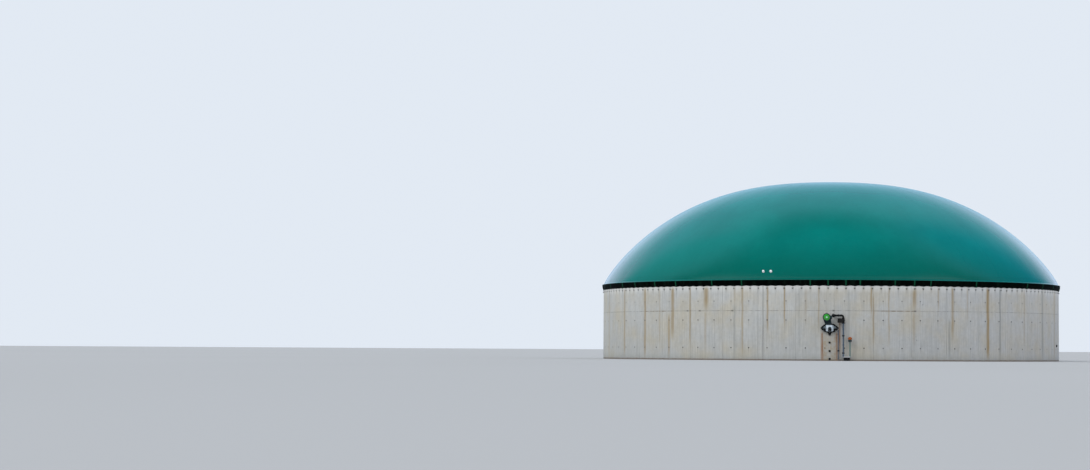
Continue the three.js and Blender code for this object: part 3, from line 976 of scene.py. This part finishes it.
# Radius and height of the skirt at an azimuth and a share of the way down, tight at each hook
def skirtPoint(azimuth, down):
    pitch = (azimuth - tank["hookAzimuth"]) / tank["hookDegrees"]
    arch = abs(math.sin(math.pi * pitch))
    near = math.exp(-((pitch - round(pitch)) / skirt["hookPinch"]) ** 2)
    length = skirt["drop"] - skirt["scallop"] * arch * down
    slack = noise.noise(polar(azimuth, 6, down * 0.8)) * skirt["slack"] * down
    pull = skirt["hemRadius"] - skirt["topRadius"]
    radius = skirt["topRadius"] + pull * down**1.6 - skirt["pinchDepth"] * near * down + slack
    radius += skirt["belly"] * math.sin(math.pi * down) * (1 - near)
    crease = math.sin(pitch * 9 + math.sin(pitch * 2.3)) * skirt["crease"] * down * (1 - near)
    return radius + crease, skirt["top"] - length * down


# A sheet starts half a scallop past the wall's joint
def skirtStart(section):
    return tank["jointAzimuth"] + section * tank["sectionDegrees"] + tank["hookDegrees"] / 2


def makeSkirt():
    scallops = tank["hooks"] // tank["sections"]
    steps = scallops * skirt["stepsPerScallop"]
    for section in range(tank["sections"]):
        name = f"skirt_sheet_{section + 1:02d}"
        sheet = primitive("grid", name, x_subdivisions=steps, y_subdivisions=skirt["rows"], size=1)
        begin = skirtStart(section)
        for vertex in sheet.data.vertices:
            azimuth = begin + (vertex.co.x + 0.5) * tank["sectionDegrees"]
            down = 0.5 - vertex.co.y
            vertex.co = polar(azimuth, *skirtPoint(azimuth, down))
        with editing(sheet):
            bpy.ops.mesh.select_all(action="SELECT")
            bpy.ops.mesh.normals_make_consistent(inside=False)
        modify(sheet, "SOLIDIFY", thickness=skirt["thickness"], offset=0)
        hand(sheet, "sheet", f"skirt_section_{section + 1:02d}", smooth=60)
        trimmings = [hemRope(section, begin, steps), straps(section)]


# The rope welded into the hem, drawn along the sheet's lower edge
def hemRope(section, begin, steps):
    curve = bpy.data.curves.new("hem", "CURVE")
    curve.dimensions = "3D"
    curve.bevel_depth = skirt["hemRope"]
    curve.bevel_resolution = 1
    curve.use_fill_caps = True
    line = curve.splines.new("POLY")
    count = steps // 2
    line.points.add(count)
    for i, point in enumerate(line.points):
        azimuth = begin + tank["sectionDegrees"] * (i + 0.02) / (count + 0.04)
        point.co = (*polar(azimuth, *skirtPoint(azimuth, 1.0)), 1)
    rope = bpy.data.objects.new(f"skirt_hem_{section + 1:02d}", curve)
    bpy.context.collection.objects.link(rope)
    activate(rope)
    bpy.ops.object.convert(target="MESH")
    return hand(bpy.context.active_object, "sheet", smooth=60)


# Green straps come down over the skirt. Their places are counted in hooks from the front one:
# uneven on the front, as the real ones are, and at every fourth hook on the rest of the tank.
def strapHooks():
    front = [-29.7, -26.5, -22.5, -19, -13.8, -10, -2, 0, 2, 3.6, 7.6, 9.9, 11.9, 18, 27]
    left = range(-34, -tank["hooks"] // 2, -4)
    right = range(31, tank["hooks"] // 2, 4)
    return sorted([*front, *left, *right])


def straps(section):
    begin = skirtStart(section)
    strips = []
    for hook in strapHooks():
        azimuth = tank["hookAzimuth"] + hook * tank["hookDegrees"]
        while azimuth < begin:
            azimuth += 360
        if azimuth >= begin + tank["sectionDegrees"]:
            continue
        strip = primitive("grid", "strap", x_subdivisions=6, y_subdivisions=10, size=1)
        wide = math.degrees(skirt["strapWidth"] / skirt["topRadius"])
        for vertex in strip.data.vertices:
            across = azimuth + vertex.co.x * wide * (0.8 + 0.2 * vertex.co.y)
            down = (0.5 - vertex.co.y) * skirt["strapReach"]
            radius, height = skirtPoint(across, down)
            vertex.co = polar(across, min(radius + 0.006, skirt["strapRadius"]), height)
        with editing(strip):
            bpy.ops.mesh.normals_make_consistent(inside=False)
        strips.append(modify(strip, "SOLIDIFY", thickness=skirt["strapThickness"], offset=0))
    piece = joined(f"skirt_straps_{section + 1:02d}", strips)
    return hand(piece, "strap", smooth=60)


lacing = {
    "eyelet": 0.015,
    "ring": 0.004,
    "loopWidth": 0.015,
    "cord": 0.004,
    "pin": 0.009,
    "washer": 0.024,
}


# One eyelet, loop and hook are modelled at the front and carried round to all the others
def makeLacing():
    cuspRadius, cuspHeight = skirtPoint(tank["hookAzimuth"], 1.0)
    eyeHeight = cuspHeight + 0.026
    hookHeight = concrete["hookHeight"]
    eyelet = primitive(
        "torus", "lacing_eyelets", major_radius=lacing["eyelet"], minor_radius=lacing["ring"],
        major_segments=12, minor_segments=5,
    )
    settle(eyelet, move(0, -cuspRadius - 0.003, eyeHeight) @ outward)
    middle, half = (eyeHeight + hookHeight) / 2, (eyeHeight - hookHeight) / 2
    loop = primitive(
        "torus", "lacing_loops", major_radius=lacing["loopWidth"], minor_radius=lacing["cord"],
        major_segments=14, minor_segments=5,
    )
    longer = Matrix.Diagonal((1, (half + 0.008) / lacing["loopWidth"], 1, 1))
    lean = turn(-4, "X")
    settle(loop, move(0, -cuspRadius + 0.0035, middle) @ lean @ outward @ longer)
    pin, washer = lacing["pin"], lacing["washer"]
    stem = turned("lacing_hooks", [
        (0, 0), (washer, 0), (washer, 0.004), (pin, 0.004), (pin, 0.040), (pin * 1.9, 0.041),
        (pin * 1.9, 0.050), (0, 0.052),
    ], 8)
    settle(stem, move(0, -tank["face"] + 0.0005, hookHeight) @ outward)
    count = tank["hooks"]
    for piece, finish in ((eyelet, "zinc"), (loop, "lacing"), (stem, "darkSteel")):
        settle(piece, turn(tank["hookAzimuth"]))
        with editing(piece):
            spin(360 * (count - 1) / count, count - 1, copies=True)
        hand(piece, finish, smooth=50)


makeSkirt()
makeLacing()
print("skirt laced")


# Sight ports

port = {
    "azimuth": -14.7,
    "spacing": 0.48,
    "angle": 11.6,
    "flange": 0.080,
    "neck": 0.062,
    "bolts": 6,
    "boltRadius": 0.0725,
}


def makePorts():
    radius, height = roofPoint(port["angle"])
    tilt = roofTilt(port["angle"])
    place = turn(port["azimuth"]) @ move(0, -radius, height) @ turn(-tilt, "X")
    flange, neck = port["flange"], port["neck"]
    profile = [
        (0, -0.02), (flange, -0.02), (flange, 0.010), (flange - 0.004, 0.014), (neck + 0.006, 0.014),
        (neck, 0.022), (neck, 0.066), (neck + 0.006, 0.070), (neck + 0.006, 0.086), (neck, 0.090),
        (neck * 0.92, 0.104), (neck * 0.70, 0.118), (neck * 0.36, 0.126), (0, 0.128),
    ]
    for side, sign in (("left", -1), ("right", 1)):
        spot = place @ move(sign * port["spacing"] / 2, 0, 0) @ outward
        body = turned(f"port_{side}", profile, 28)
        hand(settle(body, spot), "portPlastic", f"sight_port_{side}")
        ring = ringBolts(f"port_{side}_bolts", 0.007, port["bolts"], port["boltRadius"], 0.013)
        hand(settle(ring, spot), "zinc")


makePorts()


# Agitator drive

drive = {
    "azimuth": 0.2,
    "shaft": 2.01,
    "width": 1.14,
    "height": 0.6,
    "innerWidth": 0.86,
    "innerHeight": 0.44,
    "webHalf": 0.225,
    "webGap": 0.004,
    "plateFront": 0.0203,
    "yokeFront": 0.1706,
    "bearingFront": 0.2309,
    "gearboxFront": 0.4412,
    "motorFront": 0.7715,
    "motorX": -0.192,
    "motorZ": 2.665,
    "splitHeight": 2.195,
    "lowRound": 0.15,
    "highRound": 0.24,
    "housingRibs": 5,
    "fins": 32,
    "hoodSlots": 24,
    "terminalBox": (0.0303, 0.1353, -0.5215, -0.6915, 2.565, 2.765),  # left, right, back, front, low, high
    "plugHeights": {"upper": 1.12, "middle": 0.60, "lower": 0.12},
}
driveWall = wallPlace(drive["azimuth"])


# A lens of two arcs, or only its middle where a reach is given
def lensOutline(width, height, steps, reach=None):
    rise = height / 2
    radius = (width**2 / 4 + rise**2) / (2 * rise)
    half = math.asin((reach or width / 2) / radius)
    upper = [(radius * math.sin(a), radius * math.cos(a) - radius + rise) for a in spread(-half, half, steps)]
    lower = [(-x, -z) for x, z in upper]
    return upper + (lower if reach else lower[1:-1])


# The outline round two circles and their outer tangents
def hullOutline(low, lowRadius, high, highRadius, steps=16):
    dx, dz = high[0] - low[0], high[1] - low[1]
    axis = math.atan2(dz, dx)
    tangent = math.acos((lowRadius - highRadius) / math.hypot(dx, dz))
    lowAngles = spread(axis + tangent, axis - tangent + math.tau, steps)
    highAngles = spread(axis - tangent, axis + tangent, steps)
    points = [(low[0] + lowRadius * math.cos(a), low[1] + lowRadius * math.sin(a)) for a in lowAngles]
    points += [(high[0] + highRadius * math.cos(a), high[1] + highRadius * math.sin(a)) for a in highAngles]
    return points


# Places a piece in the drive's own axes, which the pipework shares: out from the wall, along it and up
def onDrive(piece, finish, *nodes, out=0.0, x=0.0, z=drive["shaft"]):
    settle(piece, driveWall @ move(x, -out, z))
    return hand(piece, finish, *nodes)


def makeYoke():
    seat = tank["seat"]
    behind, front = drive["plateFront"] + seat, drive["yokeFront"] + seat
    width, height, gap = drive["width"], drive["height"], drive["webGap"]
    innerWidth, innerHeight = drive["innerWidth"], drive["innerHeight"]
    plate = prism("wall_plate", lensOutline(width, height, 24), 0.02, 0.003)
    onDrive(plate, "plate", "drive_wall_plate", out=seat)
    depth = front - behind - seat
    ring = prism("yoke_ring", lensOutline(width, height, 28), depth)
    hole = prism("hole", lensOutline(innerWidth, innerHeight, 24), depth * 2)
    cut(ring, settle(hole, move(0, depth / 2, 0)))
    onDrive(bevelled(ring, 0.004), "darkSteel", "drive_yoke", out=behind)
    inner = lensOutline(innerWidth - gap, innerHeight - gap, 16, drive["webHalf"])
    web = recessed(prism("yoke_web", inner, depth - 0.012), 0.022, 0.010, 0.003)
    onDrive(web, "palePaint", "drive_yoke", out=behind)
    # The gussets fill the lens below the shaft on both sides of the web
    lens = lensOutline(innerWidth - gap, innerHeight - gap, 24)
    gusset = prism("yoke_gussets", [(x, z if z < 0 else -0.15 * z) for x, z in lens], depth - 0.05)
    reach = drive["webHalf"] + 0.001
    cut(gusset, block("middle", (-reach, -1, -1), (reach, 1, 1)))
    onDrive(bevelled(gusset, 0.002), "darkSteel", "drive_yoke", out=behind)
    places = [move(x, 0, z) @ outward for x, z in lensOutline(width - 0.14, height - 0.075, 7)]
    onDrive(bolts("yoke_bolts", 0.018, places), "zinc", out=drive["yokeFront"] - 0.001)
    boss = turned("bearing_boss", [
        (0, 0), *rim(0.142, 0, 0.030, 0.004), (0.116, 0.030), (0.112, 0.036), (0.110, 0.058),
        (0.106, 0.060), (0, 0.060),
    ], 40)
    pedestal = block("pedestal", (-0.1, -0.056, -0.203), (0.1, 0.0125, -0.08), 0.008)
    boss = joined("bearing_boss", [settle(boss, outward), pedestal])
    onDrive(boss, "darkSteel", "shaft_bearing", out=front)
    onDrive(settle(ringBolts("bearing_bolts", 0.009, 10, 0.128, 0.029), outward), "zinc", out=front)


def makeFoot():
    top = drive["shaft"] - drive["height"] / 2 - 2 * tank["seat"]
    outline = [(-0.11, 0), (-0.045, -0.16), (0.045, -0.16), (0.11, 0)]
    back = prism("shaft_support", outline, 0.014, 0.002)
    shelf = block("shelf", (-0.108, -0.13, -0.014), (0.108, 0, 0), 0.002)
    ribs = []
    for x in (-0.055, 0.055):
        rib = prism("rib", [(0, -0.012), (0.115, -0.012), (0.03, -0.135), (0, -0.135)], 0.012, 0.002)
        ribs.append(settle(rib, move(x - 0.006, -0.012, 0) @ turn(-90)))
    pad = block("pad", (-0.045, -0.05, -0.16), (0.045, -0.01, -0.145), 0.002)
    support = joined("shaft_support", [back, shelf, pad, *ribs])
    onDrive(support, "darkSteel", "yoke_foot", out=tank["seat"], z=top)
    places = [move(x, 0, z) @ outward for x, z in ((-0.03, -0.12), (0.03, -0.12), (0, -0.06))]
    onDrive(bolts("support_bolts", 0.011, places), "zinc", out=0.014, z=top)


def makeGearbox():
    shaft, split = drive["shaft"], drive["splitHeight"]
    out, front = drive["bearingFront"] + tank["seat"], drive["gearboxFront"]
    depth = front - out
    motorPlace = (drive["motorX"], drive["motorZ"] - shaft)
    lowRound, highRound = drive["lowRound"], drive["highRound"]
    outline = hullOutline((0, 0), lowRound, motorPlace, highRound)
    housing = prism("gear_housing", outline, depth)
    guard = copyOf(housing, "transfer_guard", Matrix())
    # The guard is the part below the split, 4 mm clear of the housing
    for piece, side in ((housing, 1), (guard, -1)):
        place, facing = (0, 0, split - shaft + side * 0.002), (0, 0, side)
        with editing(piece):
            bpy.ops.mesh.bisect(plane_co=place, plane_no=facing, use_fill=True, clear_inner=True)
            closeUp()
    with editing(housing, "FACE", lambda middle, normal: normal.y < -0.9):
        for border, depthIn in ((0.016, -0.0001), (0.004, 0.010)):  # a flat rim, then the recess
            bpy.ops.mesh.inset(thickness=border)
            extrude(0, depthIn, 0)
    bevelled(housing, 0.006)
    recessed(guard, 0.014, 0.006, 0.005)
    ribs = []
    for i in range(drive["housingRibs"]):
        height = split - shaft + 0.05 + i * 0.035
        ribs.append(block("rib", (-0.27, -depth + 0.02, height), (0.10, -0.02, height + 0.010), 0.002))
    housing = joined("gear_housing", [housing, *ribs])
    onDrive(housing, "gearPaint", "gearbox", out=out)
    onDrive(guard, "palePaint", "gearbox", out=out)
    rimPoints = hullOutline((0, 0), lowRound - 0.022, motorPlace, highRound - 0.02, 9)
    clear = [point for point in rimPoints if abs(point[1] + shaft - split) > 0.03]  # none on the split
    screws = bolts("housing_bolts", 0.010, [move(x, 0, z) @ outward for x, z in clear])
    onDrive(screws, "zinc", out=front - 0.003)
    arch = [(-0.098, -0.140), (0.098, -0.140)]
    arch += [(0.098 * math.cos(a), 0.098 * math.sin(a) - 0.03) for a in spread(0, math.pi, 20)]
    cover = recessed(prism("shaft_cover", arch, 0.022), 0.012, 0.005, 0.003)
    onDrive(cover, "darkSteel", out=front - 0.006)
    cap = [(0, 0), (0.056, 0), (0.056, 0.014), (0.050, 0.024), (0.030, 0.030), (0, 0.031)]
    onDrive(settle(turned("shaft_cap", cap, 32), outward), "gearPaint", out=front + 0.008)
    eye = primitive(
        "torus", "lifting_eye", major_radius=0.028, minor_radius=0.008, major_segments=24, minor_segments=10
    )
    settle(eye, move(0, 0, 0.05) @ outward)
    stem = turned("stem", [(0, 0), (0.022, 0), (0.022, 0.008), (0.011, 0.012), (0.011, 0.03), (0, 0.03)], 16)
    eye = joined("lifting_eye", [eye, stem])
    top = drive["motorZ"] + 0.236
    onDrive(eye, "zinc", out=out + depth / 2, x=drive["motorX"], z=top)


def makeMotor():
    start, out = drive["gearboxFront"] + tank["seat"], drive["motorFront"] + tank["seat"]
    length = drive["motorFront"] - start
    place = {"x": drive["motorX"], "z": drive["motorZ"]}
    core = turned("motor_housing", [
        (0, 0), (0.222, 0), (0.222, 0.026), (0.214, 0.032), (0.190, 0.034), (0.190, length - 0.034),
        (0.210, length - 0.032), (0.216, length - 0.026), (0.216, length), (0, length),
    ], 48)
    fin = block("fin", (0.186, -0.004, 0.038), (0.216, 0.004, length - 0.038), 0.0015)
    fins = drive["fins"]
    with editing(fin):
        spin(360 * (fins - 1) / fins, fins - 1, copies=True)
    body = settle(joined("motor_housing", [core, fin]), outward)
    onDrive(body, "motorPaint", "motor_body", out=start, **place)
    ring = turned("hood_ring", [
        (0, 0), (0.232, 0), (0.244, 0.010), (0.244, 0.052), (0.238, 0.058), (0.204, 0.060),
        (0.198, 0.054), (0, 0.054),
    ], 48)
    onDrive(settle(ring, outward), "gearPaint", "motor_hood", out=out, **place)
    hood = turned("fan_hood", [
        (0, 0.054), (0.184, 0.054), (0.192, 0.062), (0.192, 0.118), (0.186, 0.140), (0.168, 0.162),
        (0.136, 0.184), (0.112, 0.194), (0.106, 0.190), (0.100, 0.190), (0.096, 0.197), (0.056, 0.207),
        (0, 0.210),
    ], 48)
    slots = []
    for i in range(drive["hoodSlots"]):
        slot = block("slot", (0.120, -0.0045, 0.10), (0.172, 0.0045, 0.30), 0.001)
        slots.append(settle(slot, turn(i * 360 / drive["hoodSlots"])))
    cut(hood, *slots)
    onDrive(settle(hood, outward), "motorPaint", "motor_hood", out=out, **place)
    # The pale hub at the middle of the hood is a painted highlight of the glossy green fan hood.
    hub = turned("hood_hub", [(0, 0.206), (0.052, 0.205), (0.052, 0.2125), (0.046, 0.2145), (0, 0.215)], 32)
    onDrive(settle(hub, outward), "hubHighlightPaint", out=out, **place)


# The terminal box stands at the motor's side, with its lid to the right and two glands below
def makeTerminalBox():
    left, right, back, front, low, high = drive["terminalBox"]
    box = block("terminal_box", (left, front, low), (right, back, high), 0.008)
    step = 0.004
    lid = block("lid", (right, front + step, low + step), (right + 0.005, back - step, high - step), 0.002)
    profile = [(0, 0), (0.017, 0), (0.017, 0.014), (0.013, 0.018), (0.013, 0.032), (0, 0.032)]
    glands = []
    for y in (-0.645, -0.568):
        glands.append(settle(turned("gland", profile, 12), move(0.083, y, low) @ turn(180, "X")))
    box = joined("terminal_box", [box, lid, *glands])
    onDrive(box, "gearPaint", "motor_terminal_box", z=0)


def makePlugs():
    profile = [
        (0, 0), *rim(0.068, 0, 0.018, 0.002), (0.048, 0.018), (0.046, 0.022), (0.046, 0.060), (0, 0.060)
    ]
    for name, height in drive["plugHeights"].items():
        body = turned("plug", profile, 28)
        nut = primitive("cylinder", "nut", vertices=6, radius=0.046, depth=0.034)
        bevelled(settle(nut, move(z=0.077)), 0.003, degrees=50)
        plug = settle(joined(f"plug_{name}", [body, nut]), outward)
        onDrive(plug, "blackPlastic", f"sampling_plug_{name}", out=tank["seat"], z=height)
        ring = settle(ringBolts(f"plug_{name}_bolts", 0.007, 6, 0.0575, 0.017), outward)
        onDrive(ring, "zinc", out=tank["seat"], z=height)


makeYoke()
makeFoot()
makeGearbox()
makeMotor()
makeTerminalBox()
makePlugs()
print("drive built")


# Pipework right of the drive

pipes = {
    "headerX": 0.235,
    "headerZ": 2.785,
    "headerRadius": 0.06,
    "standOff": 0.21,
    "elbow": 0.11,
    "downX": 0.83,
    "downRadius": 0.048,
    "downBottom": 0.2506,
    "collarHeights": (0.98, 1.94),
    "valveLow": 2.29,
    "valveHigh": 2.65,
    "clampHeights": {"upper": 1.54, "lower": 0.48},
    "drainAzimuth": 2.17,
    "drainTop": 1.84,
    "drainBottom": 0.10,
    "drainRadius": 0.025,
    "drainStandOff": 0.09,
    "drainBend": 0.05,
    "drainClip": 0.62,
    "collarRise": 0.010,
}


def pipeCollar(name, radius, width):
    inner, half = radius - 0.002, width / 2
    outer = rim(radius + pipes["collarRise"], -half, half, 0.003)
    return turned(name, [(inner, -half), *outer, (inner, half), (inner, -half)], 28)


def makeHeader():
    x, z, radius, seat = pipes["headerX"], pipes["headerZ"], pipes["headerRadius"], tank["seat"]
    standOff, elbow, downX = pipes["standOff"], pipes["elbow"], pipes["downX"]
    length = standOff - elbow - seat
    sleeve = turned("header_flange", [
        (0, 0), *rim(0.110, 0, 0.024, 0.003), (0.078, 0.024), (0.073, 0.030), (0.073, length - 0.004),
        (0.070, length), (0, length),
    ], 36)
    onDrive(settle(sleeve, outward), "darkSteel", "header_sleeve", out=seat, x=x, z=z)
    ring = settle(ringBolts("header_flange_bolts", 0.010, 8, 0.093, 0.023), outward)
    onDrive(ring, "zinc", out=seat, x=x, z=z)
    right, down = (1, 0, 0), (0, 0, -1)
    run = pipeRun("header_run", radius, (x, -length, z), (0, -1, 0), [
        (standOff - elbow - length, None),
        (elbow, right),
        (downX - elbow - (x + elbow), None),
        (elbow, down),
        (z - elbow - pipes["valveHigh"] - seat, None),
    ])
    collars = []
    for along in (x + elbow + 0.02, downX - elbow - 0.02, (x + downX) / 2):
        place = move(along, -standOff, z) @ turn(90, "Y")
        collars.append(settle(pipeCollar("collar", radius, 0.05), place))
    onDrive(joined("header_run", [run, *collars]), "blackPlastic", "header_pipe", z=0)


def makeValve():
    low = pipes["valveLow"]
    height = pipes["valveHigh"] - low
    body = turned("valve_body", [
        (0, 0), *rim(0.100, 0, 0.022, 0.003), (0.078, 0.022), (0.072, 0.030), (0.072, height - 0.030),
        (0.078, height - 0.022), *rim(0.100, height - 0.022, height, 0.003), (0, height),
    ], 36)
    bonnet = block("bonnet", (-0.35, -0.085, 0.04), (0, 0.085, height - 0.04), 0.012)
    plate = block("plate", (-0.33, -0.0855, 0.06), (-0.10, -0.083, height - 0.06), 0.001)
    ribs = []
    for z in spread(0.075, height - 0.085, 6):
        ribs.append(block("rib", (-0.3495, -0.084, z), (-0.335, 0.084, z + 0.010), 0.002))
    valve = joined("valve_body", [body, bonnet, plate, *ribs])
    place = {"out": pipes["standOff"], "x": pipes["downX"], "z": low}
    onDrive(valve, "darkSteel", "gate_valve", **place)
    onDrive(ringBolts("valve_bolts", 0.008, 8, 0.087, 0.0215, 22.5), "zinc", **place)
    screws = [move(x, -0.0855, z) @ outward for x in (-0.315, -0.115) for z in (0.075, height - 0.075)]
    onDrive(bolts("valve_plate_screws", 0.007, screws), "zinc", **place)


# A split ring round a pipe, with lugs, bolts and an arm back to its foot on the wall
def makeClamp(name, node, place, radius, standOff, height):
    inner, outer = radius + 0.001, radius + 0.014
    ring = turned(name, [(inner, -0.03), (outer, -0.03), (outer, 0.03), (inner, 0.03), (inner, -0.03)], 28)
    bevelled(ring, 0.0015)
    lugs = []
    for sign in (-1, 1):
        ends = sorted((sign * (outer - 0.003), sign * (outer + 0.024)))
        lugs.append(block("lug", (ends[0], -0.010, -0.026), (ends[1], 0.010, 0.026), 0.002))
    arm = block("arm", (-0.016, outer - 0.004, -0.016), (0.016, standOff - 0.006, 0.016), 0.002)
    foot = block("foot", (-0.045, standOff - 0.009, -0.045), (0.045, standOff - tank["seat"], 0.045), 0.002)
    clamp = joined(name, [ring, *lugs, arm, foot])
    settle(clamp, place @ move(0, -standOff, height))
    hand(clamp, "darkSteel", node)
    places = [move(sign * (outer + 0.013), -0.010, 0) @ outward for sign in (-1, 1)]
    places += [move(x, standOff - 0.009, z) @ outward for x in (-0.032, 0.032) for z in (-0.032, 0.032)]
    screws = bolts(name + "_bolts", 0.0065, places)
    settle(screws, place @ move(0, -standOff, height))
    hand(screws, "zinc")


def makeDownpipe():
    radius, bottom, top = pipes["downRadius"], pipes["downBottom"], pipes["valveLow"] - tank["seat"]
    tube = turned("downpipe_tube", [
        (0, bottom), (0.078, bottom), (0.080, bottom + 0.002), (0.080, bottom + 0.012),
        (radius + 0.004, bottom + 0.014), (radius, bottom + 0.022), (radius, top - 0.024),
        (radius + 0.004, top - 0.018), (0.095, top - 0.016), (0.096, top - 0.014), (0.096, top - 0.001),
        (0, top),
    ], 32)
    collars = []
    for height in pipes["collarHeights"]:
        collars.append(settle(pipeCollar("collar", radius, 0.09), move(z=height)))
    pipe = joined("downpipe_tube", [tube, *collars])
    onDrive(pipe, "pipePaint", "downpipe", out=pipes["standOff"], x=pipes["downX"], z=0)
    axis = driveWall @ Vector((pipes["downX"], -pipes["standOff"], 0))
    place = turn(math.degrees(math.atan2(axis.x, -axis.y))) @ move(0, -tank["face"], 0)
    standOff = math.hypot(axis.x, axis.y) - tank["face"]
    for name, height in pipes["clampHeights"].items():
        makeClamp(f"pipe_clamp_{name}", f"downpipe_clamp_{name}", place, radius, standOff, height)


def makeDrain():
    place = wallPlace(pipes["drainAzimuth"])
    radius, standOff, top = pipes["drainRadius"], pipes["drainStandOff"], pipes["drainTop"]
    bend, seat = pipes["drainBend"], tank["seat"]
    tube = pipeRun("drain_tube", radius, (0, -seat, top), (0, -1, 0), [
        (standOff - bend - seat, None), (bend, (0, 0, -1)), (top - bend - pipes["drainBottom"], None),
    ], 20)
    flange = turned("flange", [(0, 0), (0.04, 0), (0.04, 0.008), (0.03, 0.012), (0, 0.012)], 24)
    settle(flange, move(0, -seat, top) @ outward)
    nozzle = settle(pipeCollar("nozzle", radius, 0.05), move(0, -standOff, pipes["drainBottom"] + 0.026))
    drain = joined("drain_tube", [tube, flange, nozzle])
    hand(settle(drain, place), "pipePaint", "drain_pipe")
    makeClamp("drain_tube_clip", "drain_clip", place, radius, standOff, pipes["drainClip"])


makeHeader()
makeValve()
makeDownpipe()
makeDrain()
print("pipework laid")


# Pit, standpipe and stub

pit = {
    "azimuth": 4.06,
    "ringRadius": 0.205,
    "ringHeight": 0.19,
    "ringGroove": 0.010,
    "wall": 0.03,
    "lidRadius": 0.282,
    "lidThickness": 0.06,
    "frameHeight": 0.03,
    "poleOffset": 0.199,
    "poleRadius": 0.048,
    "poleTop": 1.17,
    "collarHeight": 0.130,
    "capRadius": 0.125,
}


def makePit():
    place = wallPlace(pit["azimuth"]) @ move(0, -pit["lidRadius"] - tank["seat"], 0)
    outer, height, groove = pit["ringRadius"], pit["ringHeight"], pit["ringGroove"]
    inner, root = outer - pit["wall"], outer - groove
    ring = turned("pit_wall", [
        (inner, 0), (outer, 0), (outer, 0.030), (root, 0.036), (root, 0.082), (outer, 0.088),
        (outer, 0.104), (root, 0.110), (root, 0.150), (outer, 0.156), (outer, height), (inner, height),
        (inner, 0),
    ], 48)
    hand(settle(ring, place), "blackPlastic", "pit_ring")
    radius, thick, frameTop = pit["lidRadius"], pit["lidThickness"], pit["frameHeight"]
    low = height + tank["seat"]
    onRing = place @ move(z=low)
    # The black frame under the white cover gives the lid a dark side, standing in for the shade on the lid's
    # side.
    lidFrame = turned("pit_frame", [
        (0, 0), (radius - 0.036, 0), (radius - 0.014, 0.006), (radius - 0.006, 0.014),
        (radius - 0.006, frameTop), (0, frameTop),
    ], 56)
    hand(settle(lidFrame, onRing), "blackPlastic", "pit_lid")
    lid = turned("pit_cover", [
        (0, frameTop + 0.001), (radius - 0.004, frameTop + 0.001), (radius, frameTop + 0.004),
        (radius, thick - 0.018), (radius - 0.006, thick - 0.012), (radius - 0.030, thick - 0.010),
        (radius - 0.040, thick - 0.014), (radius - 0.052, thick - 0.014), (radius - 0.062, thick - 0.004),
        (radius - 0.12, thick), (0, thick),
    ], 56)
    hand(settle(lid, onRing), "whitePlastic", "pit_lid")
    screws = ringBolts("pit_cover_screws", 0.009, 6, radius - 0.046, thick - 0.0145, 30)
    hand(settle(screws, onRing), "zinc")
    makeStandpipe(place @ move(pit["poleOffset"], 0, 0), low + thick + tank["seat"])


# The pipe on the lid, with its collar and its cap
def makeStandpipe(pole, base):
    narrow, top, cap = pit["poleRadius"], pit["poleTop"], pit["capRadius"]
    tube = turned("vent_pole", [
        (0, base), (0.064, base), (0.066, base + 0.002), (0.066, base + 0.012), (0.056, base + 0.016),
        (0.054, base + 0.050), (narrow, base + 0.054), (narrow, top - 0.052),
        (narrow + 0.006, top - 0.048), (narrow + 0.006, top - 0.001), (0, top),
    ], 32)
    hand(settle(tube, pole), "polePaint", "standpipe")
    collarHeight = pit["collarHeight"]
    collar = turned("vent_collar", [
        (0, 0), (0.062, 0), (0.074, 0.004), (cap - 0.008, 0.018), (cap, 0.026), (cap, 0.094),
        (cap - 0.006, 0.100), (0.064, 0.110), (0.058, 0.116), (0.058, collarHeight), (0, collarHeight),
    ], 48)
    hand(settle(collar, pole @ move(z=top + tank["seat"])), "gearPaint", "standpipe_collar")
    hat = turned("vent_cap", [
        (0, 0), (cap - 0.014, 0), (cap - 0.004, 0), (cap, 0.008), (cap, 0.088), (cap - 0.006, 0.104),
        (cap - 0.030, 0.138), (cap - 0.056, 0.156), (cap - 0.080, 0.166), (0.02, 0.171), (0, 0.172),
    ], 48)
    capLow = top + collarHeight + 2 * tank["seat"]
    hand(settle(hat, pole @ move(z=capLow)), "orangePlastic", "standpipe_cap")


stub = {"azimuth": 76.2, "height": 1.01, "radius": 0.090, "boltRadius": 0.077}


def makeStub():
    place = wallPlace(stub["azimuth"]) @ move(0, -tank["seat"], stub["height"]) @ outward
    cap = turned("stub_cap", [
        (0, 0), *rim(stub["radius"], 0, 0.020, 0.002), (0.066, 0.022), (0.064, 0.026),
        (0.064, 0.056), (0.058, 0.066), (0.030, 0.070), (0, 0.070),
    ], 36)
    hand(settle(cap, place), "blackPlastic", "wall_stub")
    ring = ringBolts("stub_bolts", 0.008, 6, stub["boltRadius"], 0.019)
    hand(settle(ring, place), "zinc")


makePit()
makeStub()
print("pit and stub placed")
